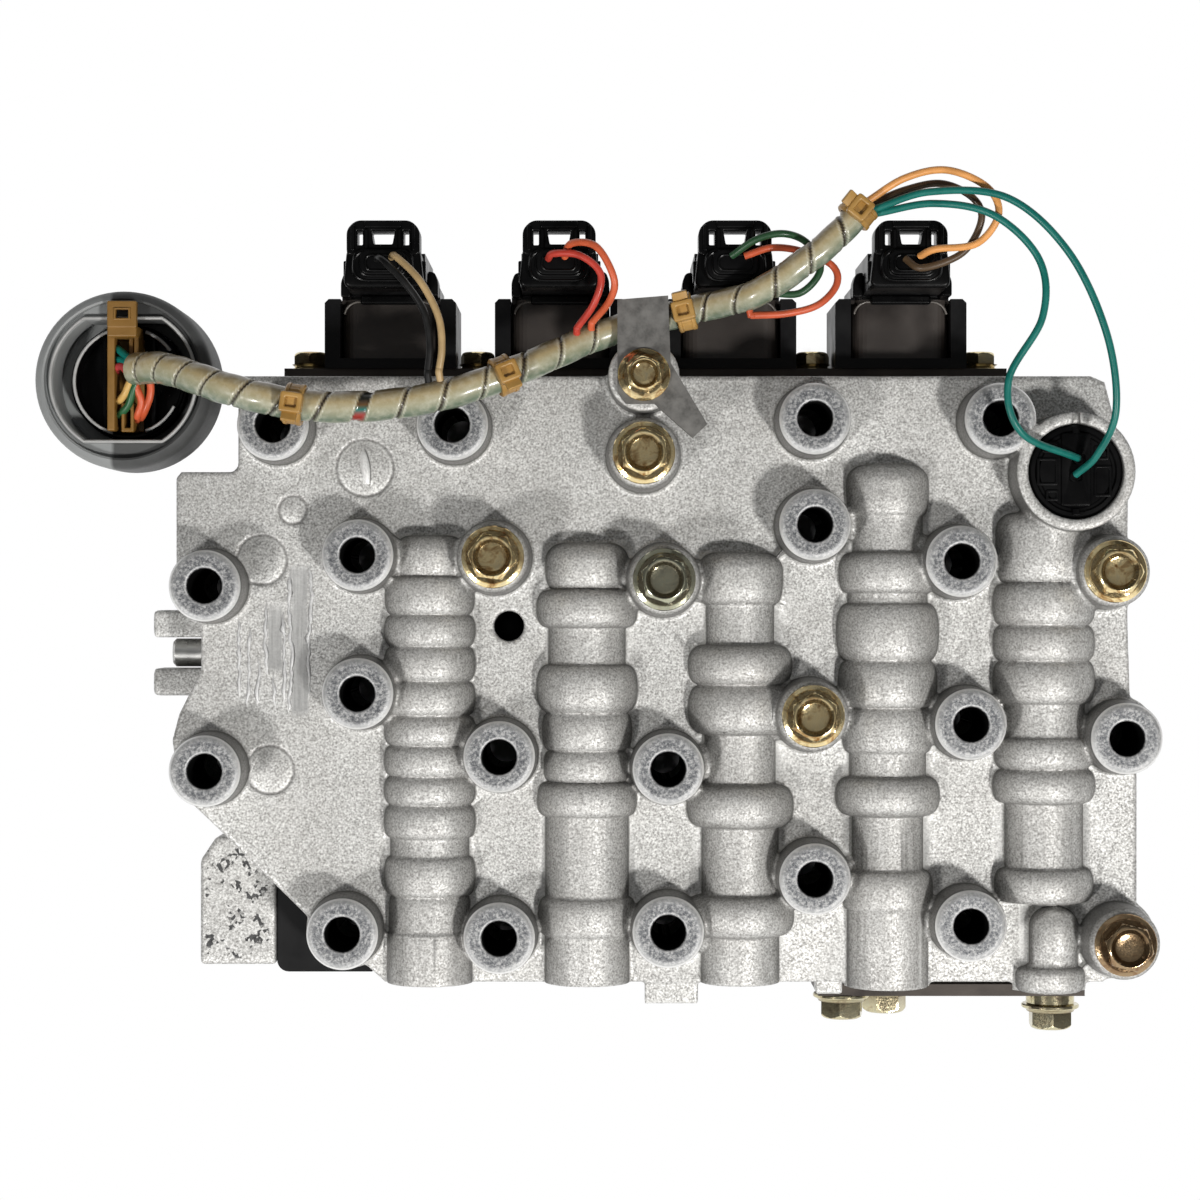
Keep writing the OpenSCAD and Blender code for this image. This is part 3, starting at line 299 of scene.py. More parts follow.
def dialSlot(s, color, low, spec):
    x, y = s.axes()[:2]
    cx, cy, turn = spec["slot"]
    dx, dy, cos, sin = s.minus(x, cx), s.minus(y, cy), math.cos(turn), math.sin(turn)
    long = s.times(s.plus(s.times(dx, cos), s.times(dy, sin)), 1 / spec["slotLong"])
    wide = s.times(s.minus(s.times(dy, cos), s.times(dx, sin)), 1 / spec["slotWide"])
    lens = s.minus(1, s.plus(s.times(long, long), s.times(wide, wide)))
    # painted highlight inside the slot's lens, and painted shade along one of its sides
    rim = s.times(s.span(s.size(lens), 0.35, 0.1), s.span(wide, -0.1, -0.6))
    color = s.mix(s.times(s.span(lens, 0.0, 0.2), low, 0.7), color, spec["shine"])
    return s.mix(s.times(rim, low, 0.8), color, spec["shade"])


def blockSpeckle(s, color, spec):
    x, y, z = s.axes()
    x0, x1, y0, y1 = spec["block"]
    level = s.minus(1, s.steep(0.5, 0.8))
    inside = s.times(s.band(x, x0, x1, 0.4), s.band(y, y0, y1, 0.4), s.band(z, *spec["blockZ"], 1), level)
    dot = s.axes(s.cells(1.15)["Color"])[1]
    blot = s.noise(0.28, 2, 0.5)
    speck = s.times(inside, s.span(dot, 0.42, 0.38), s.span(blot, 0.5, 0.54))
    return s.mix(s.times(speck, 0.9), color, spec["speck"])


def milledFace(s, color, rough, spec):
    x, y, z = s.axes()
    cut = s.span(z, 0.5, 0.3)
    sweep = s.math("SINE", s.times(s.plus(x, s.times(y, y, 0.002)), 5.2))      # arcs left by the cutter
    milled = s.mix(s.span(sweep, -1, 1), spec["cutDark"], spec["cutPale"])
    return s.mix(s.times(cut, 0.85), color, milled), s.blendValue(cut, rough, spec["cutRough"])


def castFinish(name, spec, marks=None, case=None):
    s = Sheet(name)
    above = s.minus(s.axes()[2], stack["deck"])                # height over the deck
    grain = s.noise(spec["grain"], 3, 0.62)
    tone = s.axes(s.cells(spec["flake"])["Color"])[0]
    patch = s.noise(0.05, 4, 0.6)
    color = s.ramp(grain, (0.33, spec["deep"]), (0.5, spec["mid"]), (0.67, spec["pale"]))
    color = s.mix(s.span(tone, 0.8, 1.0, 0, 0.4), color, spec["pale"])
    color = s.mix(s.span(tone, 0.0, 0.22, 0.4, 0), color, spec["deep"])
    color = s.mix(s.span(above, 3, 7, 0, 0.2), color, spec["raised"])
    color = s.mix(s.span(patch, 0.35, 0.65, 0, 0.18), color, spec["stain"])
    color = s.mix(s.times(s.pointedShare(0.53, 0.6), 0.55), color, spec["edge"])
    # painted shade on walls and in corners, painted highlight on the fillets
    color = castPaintedShade(s, color, above, patch, spec)
    rough = s.span(grain, 0.3, 0.7, spec["rough"] + 0.12, spec["rough"] - 0.1)
    if marks:
        low = s.span(above, 1.2, 0.7)
        color, rough = groundStrips(s, color, rough, low, marks)
        color = ringOutlines(s, color, low, marks)
        color = dialSlot(s, color, low, marks)
    if case:
        color = blockSpeckle(s, color, case)
        color, rough = milledFace(s, color, rough, case)
    s.set(Base_Color=color, Roughness=rough, Metallic=spec["metal"], Specular_IOR_Level=0.35)
    fine = s.bump(grain, 0.42, 0.12)
    s.set(Normal=s.bump(s.noise(0.35, 2, 0.5), 0.25, 0.3, fine))
    return s.mat


# turned faces with rings round each of the holes, a painted highlight on the rounded rim, painted shade on steep
# walls and black painted shade down the holes
turned = {"deep": (0.06, 0.064, 0.074), "mid": (0.20, 0.205, 0.212), "pale": (0.47, 0.47, 0.466),
          "rim": (0.88, 0.88, 0.87), "wall": (0.09, 0.088, 0.085), "hole": (0.006, 0.006, 0.006), "metal": 0.6,
          "rough": 0.46, "pitch": 0.34}


def turnedFinish(name, spec):
    s = Sheet(name)
    radius = s.value("ring")
    wave = s.math("SINE", s.times(radius, tau / spec["pitch"]))
    mottle = s.noise(1.5, 4, 0.7)
    color = s.ramp(mottle, (0.36, spec["deep"]), (0.5, spec["mid"]), (0.64, spec["pale"]))
    color = s.mix(s.span(wave, -1, 1, 0, 0.12), color, spec["pale"])
    # painted highlight on the rim, painted shade on steep walls, then black painted shade down the holes
    color = s.mix(s.span(s.value("rim"), 0.0, 0.95), color, spec["rim"])
    color = s.mix(s.times(s.steep(0.1, 0.4), 0.75), color, spec["wall"])
    color = s.mix(s.span(s.value("rim"), 0.0, -0.5), color, spec["hole"])
    rough = s.span(mottle, 0.3, 0.7, spec["rough"], spec["rough"] + 0.2)
    s.set(Base_Color=color, Metallic=spec["metal"], Roughness=rough, Specular_IOR_Level=0.35)
    s.set(Normal=s.bump(wave, 0.12, 0.04, s.bump(mottle, 0.25, 0.08)))
    return s.mat


# yellow plating on the bolts; tone 0 is gold, 0.5 is silver and 1 is bronze
plating = {"deep": (0.32, 0.145, 0.028), "pale": (0.95, 0.77, 0.42), "cool": (0.80, 0.70, 0.44),
           # the last colour here is painted shade for the creases and dishes
           "silver": (0.38, 0.43, 0.36), "bronze": (0.24, 0.15, 0.10), "paintedCreaseShade": (0.075, 0.038, 0.012),
           "metal": 0.92, "rough": 0.07}


def platedFinish(name, spec):
    s = Sheet(name)
    drift = s.noise(0.22, 3, 0.6, warp=1.2)
    fine = s.noise(2.6, 3, 0.6)
    tone = s.value("tone")
    color = s.ramp(drift, (0.3, spec["deep"]), (0.5, spec["pale"]), (0.72, spec["cool"]))
    color = s.mix(s.times(s.span(tone, 0.1, 0.4), s.span(tone, 0.9, 0.6), 0.8), color, spec["silver"])
    color = s.mix(s.times(s.span(tone, 0.6, 0.9), 0.75), color, spec["bronze"])
    color = s.mix(s.span(fine, 0.45, 0.8, 0, 0.3), color, spec["deep"])
    # painted shade in the bolts' creases and dishes, from the tag on each step
    color = s.mix(s.times(s.value("paintedCreaseShade"), s.span(fine, 0.25, 0.6, 0.9, 0.5)), color, spec["paintedCreaseShade"])
    rough = s.span(fine, 0.3, 0.7, spec["rough"], spec["rough"] + 0.16)
    s.set(Base_Color=color, Metallic=spec["metal"], Roughness=rough)
    s.set(Normal=s.bump(s.noise(0.7, 2, 0.5), 0.3, 0.12, s.bump(fine, 0.12, 0.04)))
    return s.mat


# finishes of one recipe: material's name and its numbers
black = {"deep": (0.003, 0.003, 0.0035), "pale": (0.009, 0.009, 0.0095), "specular": 0.16}
coats = {
    "gasket": ("gasketPaper", {"deep": (0.05, 0.06, 0.055), "pale": (0.11, 0.12, 0.11), "rough": 0.8}),
    "steel": ("groundSteel", {"deep": (0.42, 0.42, 0.41), "pale": (0.62, 0.62, 0.6), "rough": 0.3, "metal": 1.0}),
    "spool": ("anodisedSpool", {"deep": (0.35, 0.36, 0.37), "pale": (0.5, 0.51, 0.52), "rough": 0.35, "metal": 0.9}),
    "spring": ("springWire", {"deep": (0.1, 0.1, 0.1), "pale": (0.25, 0.25, 0.25), "rough": 0.4, "metal": 0.9}),
    "phosphate": ("phosphateSteel", {"deep": (0.022, 0.018, 0.016), "pale": (0.065, 0.055, 0.048), "rough": 0.45,
                                     "metal": 0.5, "patch": 0.08, "specular": 0.3}),
    "yoke": ("blackYoke", {**black, "rough": 0.4}),
    "plug": ("blackPlug", {"deep": (0.001, 0.001, 0.0012), "pale": (0.003, 0.003, 0.0032), "specular": 0.12,
                           "rough": 0.3}),
    "moulding": ("blackMoulding", {**black, "rough": 0.5}),
    "rubber": ("sealRubber", {**black, "rough": 0.7}),
    "bracket": ("bracketSteel", {"deep": (0.10, 0.097, 0.092), "pale": (0.20, 0.195, 0.185), "rough": 0.5,
                                 "metal": 0.55, "patch": 0.35, "grain": 1.6, "fleck": 0.5}),
    "nylon": ("tanNylon", {"deep": (0.30, 0.155, 0.03), "pale": (0.45, 0.26, 0.07), "rough": 0.4, "coat": 0.15}),
    "retainer": ("tanRetainer", {"deep": (0.17, 0.085, 0.014), "pale": (0.27, 0.14, 0.03), "rough": 0.42}),
    # painted highlight colour for the lips on the connector's rims
    "lip": ("paintedHighlightLip", {"deep": (0.30, 0.30, 0.295), "pale": (0.46, 0.46, 0.45), "rough": 0.4}),
    # painted highlight colour for the lips on the winding's corners
    "paintedWindingHighlight": ("paintedWindingHighlight", {"deep": (0.085, 0.075, 0.068), "pale": (0.17, 0.155, 0.14), "rough": 0.35}),
}
finishes = {key: coatedFinish(name, spec) for key, (name, spec) in coats.items()}
finishes["deckCast"] = castFinish("castAluminium", casting, marks=deckMarks)
finishes["caseCast"] = castFinish("castCaseSide", casting, case=caseSide)
finishes["turned"] = turnedFinish("turnedAluminium", turned)
finishes["plated"] = platedFinish("yellowPlating", plating)


# coil body: brown-grey potting up to the neck, black moulding beyond it
potting = {"deep": (0.022, 0.018, 0.016), "pale": (0.058, 0.049, 0.044), "black": (0.005, 0.005, 0.0055),
           "neck": 96.4, "band": (82, 88, 89, 94), "rough": 0.3}


def pottedFinish(name, spec):
    s = Sheet(name)
    y = s.axes()[1]
    patch = s.noise(0.07, 3, 0.55)
    grain = s.noise(2.4, 3, 0.6)
    rise, full, fall, end = spec["band"]
    band = s.times(s.span(y, rise, full), s.span(y, end, fall))      # paler across the middle of the winding
    color = s.mix(s.span(patch, 0.3, 0.7), spec["deep"], spec["pale"])
    color = s.mix(s.times(band, 0.6), color, spec["pale"])
    color = s.mix(s.span(y, spec["neck"], spec["neck"] + 0.3), color, spec["black"])
    s.set(Base_Color=color, Roughness=s.span(patch, 0.3, 0.7, spec["rough"], spec["rough"] + 0.14))
    s.set(Specular_IOR_Level=0.35, Normal=s.bump(grain, 0.15, 0.05))
    return s.mat


# case connector shell: painted light and shade, the left half painted paler as lit and the right half darker as in
# shade
shell = {"left": (0.29, 0.30, 0.30), "right": (0.052, 0.053, 0.053), "dust": (0.14, 0.145, 0.145), "split": -135.2,
         "rough": 0.46}


def shellFinish(name, spec):
    s = Sheet(name)
    x = s.axes()[0]
    patch = s.noise(0.1, 3, 0.6)
    grain = s.noise(2.2, 3, 0.6)
    # painted light on the left half and painted shade on the right half
    color = s.mix(s.span(x, spec["split"] - 0.5, spec["split"] + 0.5), spec["left"], spec["right"])
    color = s.mix(s.span(patch, 0.3, 0.7, 0, 0.25), color, spec["dust"])
    s.set(Base_Color=color, Roughness=s.span(grain, 0.3, 0.7, spec["rough"], spec["rough"] + 0.12))
    s.set(Specular_IOR_Level=0.35, Normal=s.bump(grain, 0.15, 0.05))
    return s.mat


finishes["potted"] = pottedFinish("coilPotting", potting)
finishes["shell"] = shellFinish("greyShell", shell)


def dress(node, finish):
    mesh = cad[node].data
    mesh.materials.clear()
    mesh.materials.append(finishes[finish])


wardrobe = {
    "gasket": ["upper_gasket", "lower_gasket"],
    "steel": ["separator_plate", "manual_valve", "check_balls"],
    "spool": ["spool_%d" % i for i in range(1, 6)] + ["bore_plugs"],
    "spring": ["spring_%d" % i for i in range(1, 6)] + ["plug_keepers"],
    "plated": ["body_bolts", "solenoid_plate_bolts", "cover_bolts", "bracket_bolt"],
    "phosphate": ["solenoid_plate", "cover_plate"],
    "yoke": ["solenoid_%d_yoke" % i for i in range(1, 5)],
    "potted": ["solenoid_%d_coil" % i for i in range(1, 5)],
    "plug": ["solenoid_%d_plug" % i for i in range(1, 5)] + ["connector_insert", "temperature_sensor"],
    "moulding": ["corner_cover"],
    "rubber": ["solenoid_seals", "connector_seal"],
    "bracket": ["harness_bracket"],
    "nylon": ["terminal_retainer", "cable_ties"],
    "shell": ["connector_shell"],
    "deckCast": ["upper_body"],
    "caseCast": ["lower_body"],
}
wardrobe["steel"] += ["solenoid_%d_%s" % (i, k) for i in range(1, 5) for k in ("core", "plunger")]
for finish, members in wardrobe.items():
    for node in members:
        dress(node, finish)

# broken edges on the solids that stay, in mm
eased = {"solenoid_plate": 0.35, "cover_plate": 0.35, "harness_bracket": 0.3, "corner_cover": 0.5,
         **{"solenoid_%d_yoke" % i: 0.5 for i in range(1, 5)}, **{"solenoid_%d_coil" % i: 0.6 for i in range(1, 5)}}
for node, width in eased.items():
    ease = cad[node].modifiers.new("easedEdges", "BEVEL")
    ease.width = width * mm
    ease.segments = 2
    ease.limit_method = "ANGLE"
    ease.angle_limit = math.radians(40)
print("finishes on the solids")


# pieces made here

def newPiece(name, mesh, finish, nodes=(), body="castings", sharp=None):
    obj = bpy.data.objects.new(name, mesh)
    scene.collection.objects.link(obj)
    mesh.materials.clear()
    mesh.materials.append(finishes[finish] if isinstance(finish, str) else finish)
    mesh.polygons.foreach_set("use_smooth", [True] * len(mesh.polygons))
    if sharp:
        mesh.set_sharp_from_angle(angle=math.radians(sharp))
    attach(obj, body)
    for node in nodes:
        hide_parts(node)
    return obj


def arc(cx, cy, r, a0, a1, steps):
    # points on an arc, angles in degrees
    return [(cx + r * math.cos(math.radians(a0 + (a1 - a0) * k / steps)),
             cy + r * math.sin(math.radians(a0 + (a1 - a0) * k / steps))) for k in range(steps + 1)]


def rounded(points, radius, steps=5):
    # a closed outline with its corners rounded
    out = []
    count = len(points)
    for i, p in enumerate(points):
        p, a, b = Vector(p), Vector(points[i - 1]), Vector(points[(i + 1) % count])
        u, v = (a - p), (b - p)
        reach = min(radius, u.length * 0.48, v.length * 0.48)
        start, end = p + u.normalized() * reach, p + v.normalized() * reach
        for k in range(steps + 1):
            t = k / steps
            out.append(tuple((1 - t) ** 2 * start + 2 * t * (1 - t) * p + t * t * end))
    return out


def rect(x0, x1, y0, y1, radius=0.5, steps=4):
    return rounded([(x0, y0), (x1, y0), (x1, y1), (x0, y1)], radius, steps)


def keyed(r, flat, steps=40):
    # a circle with two flats, as on the connector's rim
    a = math.degrees(math.asin(flat / r))
    return arc(0, 0, r, -a, a, steps) + arc(0, 0, r, 180 - a, 180 + a, steps)


class Kit:
    # gathers shapes, in mm, into the mesh of one piece; tags are numbers on the points for the finish
    def __init__(self, *tags):
        self.work = bmesh.new()
        self.layers = {t: self.work.verts.layers.float.new(t) for t in tags}
        self.marks = {t: 0.0 for t in tags}

    def point(self, p):
        v = self.work.verts.new(p)
        for t, layer in self.layers.items():
            v[layer] = self.marks[t]
        return v

    def face(self, *corners):
        if len(set(corners)) > 2:
            self.work.faces.new(corners)

    def skin(self, rows, place=Matrix(), ring=False, start=False, end=False, tags=None):
        # rows of points joined into a surface, each row closed on itself
        made = []
        for i, row in enumerate(rows):
            self.marks.update(tags[i] if tags else {})
            made.append([self.point(place @ Vector(p)) for p in row])
        self.join(made, ring, start, end)

    def join(self, made, ring=False, start=False, end=False):
        pairs = list(zip(made, made[1:])) + ([(made[-1], made[0])] if ring else [])
        n = len(made[0])
        for a, b in pairs:
            for k in range(n):
                self.face(a[k], a[(k + 1) % n], b[(k + 1) % n], b[k])
        if start:
            self.face(*reversed(made[0]))
        if end:
            self.face(*made[-1])

    def lathe(self, profile, place=Matrix(), sides=48, shape=None, start=True, end=True, tags=None):
        # profile of radius and height; shape turns angle and radius into the real radius
        rows = []
        for r, z in profile:
            row = []
            for k in range(sides):
                a = tau * k / sides
                q = shape(a, r, z) if shape else r
                row.append((q * math.cos(a), q * math.sin(a), z))
            rows.append(row)
        self.skin(rows, place, start=start, end=end, tags=tags)

    def plate(self, outlines, low, high, lip=0.3, place=Matrix()):
        # a flat plate with rounded edges; outlines after the first are windows
        curve = bpy.data.curves.new("cut", "CURVE")
        curve.dimensions = "2D"
        curve.fill_mode = "BOTH"
        curve.extrude = (high - low) / 2 - lip
        curve.bevel_depth = lip
        curve.bevel_resolution = 2
        curve.offset = -lip
        for number, outline in enumerate(outlines):
            line = curve.splines.new("POLY")
            line.use_cyclic_u = True
            line.points.add(len(outline) - 1)
            for point, (x, y) in zip(line.points, outline if number == 0 else outline[::-1]):
                point.co = (x, y, 0, 1)
        obj = bpy.data.objects.new("cut", curve)
        mesh = obj.to_mesh()
        lift = place @ Matrix.Translation((0, 0, (low + high) / 2))
        made = [self.point(lift @ v.co) for v in mesh.vertices]
        for f in mesh.polygons:
            self.face(*[made[i] for i in f.vertices])
        obj.to_mesh_clear()
        bpy.data.objects.remove(obj)
        bpy.data.curves.remove(curve)

    def tube(self, path, radius, sides=12, place=Matrix(), ring=False):
        path = [Vector(p) for p in path]
        rows = []
        for i, p in enumerate(path):
            before = path[i - 1] if i or ring else p
            after = path[(i + 1) % len(path)] if ring or i + 1 < len(path) else p
            ahead = (after - before).normalized()
            side = (Vector((0, 0, 1)) if abs(ahead.z) < 0.9 else Vector((1, 0, 0))).cross(ahead).normalized()
            up = ahead.cross(side)
            rows.append([p + (side * math.cos(tau * k / sides) + up * math.sin(tau * k / sides)) * radius
                         for k in range(sides)])
        self.skin(rows, place, ring=ring, start=not ring, end=not ring)

    def piece(self, name, finish, slot, nodes=(), body="castings", sharp=35):
        work = self.work
        bmesh.ops.remove_doubles(work, verts=work.verts, dist=1e-4)
        bmesh.ops.recalc_face_normals(work, faces=work.faces)
        mesh = bpy.data.meshes.new(name)
        work.to_mesh(mesh)
        work.free()
        mesh.transform(Matrix.Scale(mm, 4))
        return newPiece(name, mesh, finish, nodes, body, sharp)


def softCasting(node, name, spec):
    # the solid's skin as a casting: voxels, then rounded edges and filled corners
    mesh = cad[node].data.copy()
    work = bmesh.new()
    work.from_mesh(mesh)
    bmesh.ops.remove_doubles(work, verts=work.verts, dist=1e-6)
    work.to_mesh(mesh)
    work.free()
    obj = bpy.data.objects.new(name + "Work", mesh)
    scene.collection.objects.link(obj)
    cut = obj.modifiers.new("voxels", "REMESH")
    cut.mode = "VOXEL"
    cut.voxel_size = spec["voxel"] * mm
    soft = obj.modifiers.new("soften", "SMOOTH")
    soft.factor = 0.5
    soft.iterations = spec["passes"]
    dg = bpy.context.evaluated_depsgraph_get()
    dense = bpy.data.meshes.new_from_object(obj.evaluated_get(dg))
    bpy.data.objects.remove(obj)
    if "shape" in spec:
        spec["shape"](dense)
    obj = bpy.data.objects.new(name, dense)
    scene.collection.objects.link(obj)
    count = len(dense.polygons) * 2
    thin = obj.modifiers.new("thin", "DECIMATE")
    thin.ratio = min(1.0, spec["budget"] / count)
    dg = bpy.context.evaluated_depsgraph_get()
    final = bpy.data.meshes.new_from_object(obj.evaluated_get(dg))
    bpy.data.objects.remove(obj)
    newPiece(name, final, spec["finish"], [node])
    print(name, "from", count, "to", len(final.polygons), "faces")


# humps over the valve bores, as in the solid: x, first y, then each section's length, radius and shoulder;
# soft gives the radius and shoulder of sections that the casting rounds off
humps = {
    "axis": 39.4, "power": 2.4, "step": 0.1, "near": (0.6, 1.4), "keep": 0.25,
    "endRound": [4.6, 4.6, 4.6, 4.6, 4.6, 2.2], "nose": (99.4, -56.4, -71.2, 6.2, 41.9), "noseWall": (98.6, 7.8),
    "list": [
        (-56.25, 36.1, [(10.4, 9.6, 0), (9.4, 11.4, 1.4), (7.9, 11.6, 1.5), (8.6, 11.6, 1.5), (8.6, 11.6, 1.5),
                        (7.4, 11.6, 1.5), (7.7, 11.6, 1.5), (7.1, 11.6, 1.5), (8.2, 11.6, 1.5), (4.7, 10, 0),
                        (9.6, 11.6, 1.6), (9.4, 10, 0), (12.6, 10.8, 0)]),
        (-17, 34.3, [(11.8, 10.6, 0), (9.4, 12.8, 3), (9.2, 9.8, 0), (11.8, 12.8, 3), (9.6, 11.2, 0),
                     (7.9, 10.6, 0), (8.4, 12.6, 2.4), (20.3, 10.6, 0), (9.4, 12.4, 2.2), (12, 10.7, 0)]),
        (21.2, 31.9, [(13, 10.8, 0), (10, 9.4, 0), (10.1, 13.2, 3.4), (12.3, 13.2, 3.2), (12.4, 9.8, 0),
                      (10.7, 13.5, 3.4), (16.8, 9.8, 0), (10.3, 13.6, 3.4), (11.8, 10.6, 0)]),
        (58, 53.8, [(12.8, 10.5, 0), (9.1, 9.8, 0), (10.2, 12.4, 2.6), (2.6, 10.2, 0), (14.2, 13, 2.6),
                    (11.6, 12.6, 2.2), (11.3, 11.6, 1.4), (6, 10.4, 0), (9.8, 13.2, 3.2), (13.4, 10, 0),
                    (10, 11.6, 1.8), (19.3, 10.7, 0)]),
        (97, 41.8, [(17.6, 12.2, 0), (10.6, 13, 2.6), (8.7, 12.9, 2), (10.7, 13, 2.4), (8.4, 10.4, 0),
                    (7.8, 12.6, 2.2), (8.6, 13, 2.8), (16.1, 10.4, 0), (8.6, 12.6, 2.6)]),
        (98.6, -71.2, [(6.5, 9.2, 0)])],
    "soft": {(0, 0): (9.6, 1.4), (0, 1): (11.4, 1.9), **{(0, k): (11.6, 2.1) for k in range(2, 9)},
             (0, 11): (10.4, 0.9), (1, 0): (10.6, 2.4), (1, 4): (11.4, 1.8), (1, 5): (11.0, 1.7),
             (2, 0): (10.9, 2.8), (2, 1): (8.7, 0), (2, 4): (9.1, 0), (2, 8): (9.9, 0),
             (3, 0): (10.5, 2.6), (3, 1): (9.0, 0), (3, 6): (11.6, 2.0), (3, 7): (9.8, 0), (3, 9): (9.1, 0),
             (3, 10): (11.5, 2.2), (3, 11): (10.3, 0), (4, 0): (12.2, 2.4), (4, 7): (10.0, 0),
             (5, 0): (8.9, 1.6)},
}

# bolt bosses: those with open holes, and those under the body bolts
bosses = {"holes": [(-94, 63), (-50, 63), (39, 64.5), (84.5, 64.5), (39, 38.5), (-73.25, 31), (75, 29.5),
                    (-110.75, 23.5), (-73.25, -3), (77.25, -10.5), (115.5, -14), (-38.5, -18.5), (3, -21.5),
                    (-110.75, -22), (39, -48.5), (77.25, -60), (3, -61.5), (-77, -62), (-38.5, -63)],
          "covered": [(-3, 56), (-40, 30.5), (2, 25), (38.5, -8.5), (112.5, 27), (115, -64.5)],
          "foot": (9.5, 10.4), "well": (-36.5, 13.5, 3.7, 29.2), "inner": 4.3, "outer": 7.3, "shoulder": 8.85,
          "lift": 0.03, "sides": 72}


def humpRadii(sections, joined):
    # radius at each step along a hump; where sections are joined, a ring comes down to the neck beside it
    power, radii = humps["power"], []
    for k, (length, r, shoulder) in enumerate(sections):
        ends = []
        for other in (k - 1, k + 1):
            low = r - shoulder
            if joined and other < 0:
                low = r
            elif joined and other < len(sections) and shoulder and not sections[other][2]:
                low = min(r, sections[other][1])
            ends.append(low)
        count = round(length / humps["step"])
        for i in range(count):
            u = 1 - 2 * (i + 0.5) / count
            drop = r - ends[0 if u > 0 else 1]
            radii.append(r - drop * (1 - (1 - abs(u) ** power) ** (1 / power)))
    return np.array(radii)


def smoothStep(value, low, high):
    share = np.clip((value - low) / (high - low), 0, 1)
    return share * share * (3 - 2 * share)


def shapeHump(co, number, free):
    # moves the skin of one hump from the solid's radii to the soft ones
    x, first, sections = humps["list"][number]
    soft = [(s[0], *humps["soft"].get((number, k), s[1:])) for k, s in enumerate(sections)]
    solid, shown = humpRadii(sections, False), humpRadii(soft, True)
    deck, axis, bend = stack["deck"], humps["axis"], humps["endRound"][number]
    side, rise, depth = co[:, 0] - x, co[:, 2] - axis, first - co[:, 1]
    far = np.maximum(np.hypot(side, rise), 0.1)
    cell = np.clip((depth / humps["step"]).astype(int), 0, len(solid) - 1)
    off = far - solid[cell]
    upper = co[:, 2] > deck - 0.2
    along = (depth > 0) & (depth < len(solid) * humps["step"]) & upper
    share = free * (1 - smoothStep(np.abs(off), *humps["near"])) * along
    goal = far + share * (shown[cell] - solid[cell] - (1 - humps["keep"]) * off)
    # upper end rounded over
    r = soft[0][1]
    corner = (depth > -0.5) & (depth < bend) & (far > r - bend) & (far < r + 0.6) & upper & (free > 0)
    out, back = far - (r - bend), bend - depth
    scale = bend / np.maximum(np.hypot(out, back), 0.1)
    goal = np.where(corner, far + free * (r - bend + out * scale - far), goal)
    co[:, 1] = np.where(corner, co[:, 1] - free * (back - back * scale), co[:, 1])
    co[:, 0] = x + side * goal / far
    height = axis + rise * goal / far
    co[:, 2] = np.where(goal == far, co[:, 2], np.maximum(height, np.minimum(co[:, 2], deck)))


def shapeNose(co, free):
    # the walls beside the round-nosed lug drawn in to its outline
    x, first, last, r, axis = humps["nose"]
    wallX, wallR = humps["noseWall"]
    share = np.clip((first - co[:, 1]) / (r - 1), 0, 1)
    here = 1 + (r - 1) * np.sqrt(1 - (1 - share) ** 2)
    onWall = np.hypot(co[:, 0] - wallX, co[:, 2] - humps["axis"]) < wallR
    onNose = np.hypot(co[:, 0] - x, co[:, 2] - axis) < r + 0.6
    on = (onWall | onNose) & (free > 0.98) & (co[:, 2] > stack["deck"] + 0.25)
    on &= (co[:, 1] < first + 0.6) & (co[:, 1] > last + 0.4)
    co[on, 2] = np.minimum(co[on, 2], axis + here[on])
    rise = np.maximum(co[:, 2] - axis, 0)
    half = np.sqrt(np.maximum(here ** 2 - rise ** 2, 0.04))
    co[on, 0] = np.clip(co[on, 0], x - half[on], x + half[on])


def markDeck(co, spec):
    deck = stack["deck"]
    level = np.abs(co[:, 2] - deck) < 0.9
    for x0, x1, y0, y1 in spec["ground"]:
        inX, inY = np.minimum(co[:, 0] - x0, x1 - co[:, 0]), np.minimum(co[:, 1] - y0, y1 - co[:, 1])
        co[level, 2] -= spec["scoop"] * np.clip(np.minimum(inX, inY)[level], 0, 1)
    for x, y, r in spec["rings"]:
        gap = np.hypot(co[:, 0] - x, co[:, 1] - y) - r
        co[level & (gap < 0.4), 2] = deck + spec["ringRise"]
        on = level & (np.abs(gap) < 1.5)
        co[on, 2] -= spec["ringDeep"] * np.exp(-(gap[on] / spec["ringHalf"]) ** 2)
    x, y, a = spec["slot"]
    dx, dy = co[:, 0] - x, co[:, 1] - y
    along, across = dx * math.cos(a) + dy * math.sin(a), -dx * math.sin(a) + dy * math.cos(a)
    lens = 1 - (along / spec["slotLong"]) ** 2 - (across / spec["slotWide"]) ** 2
    on = (lens > 0) & level
    co[on, 2] += spec["slotRise"] * np.sqrt(lens[on])


def shapeUpper(mesh):
    flat = np.empty(len(mesh.vertices) * 3)
    mesh.vertices.foreach_get("co", flat)
    co = flat.reshape(-1, 3) / mm
    markDeck(co, deckMarks)
    free = np.ones(len(co))                         # 0 close to a boss, which keeps its shape
    for x, y in bosses["holes"] + bosses["covered"]:
        free *= smoothStep(np.hypot(co[:, 0] - x, co[:, 1] - y), *bosses["foot"])
    for number in range(len(humps["list"])):
        shapeHump(co, number, free)
    shapeNose(co, free)
    mesh.vertices.foreach_set("co", (co * mm).reshape(-1))


softCasting("upper_body", "upperCasting", {"voxel": 0.5, "passes": 3, "budget": 185000, "shape": shapeUpper,
                                           "finish": "deckCast"})
softCasting("lower_body", "lowerCasting", {"voxel": 0.8, "passes": 4, "budget": 90000, "finish": "caseCast"})


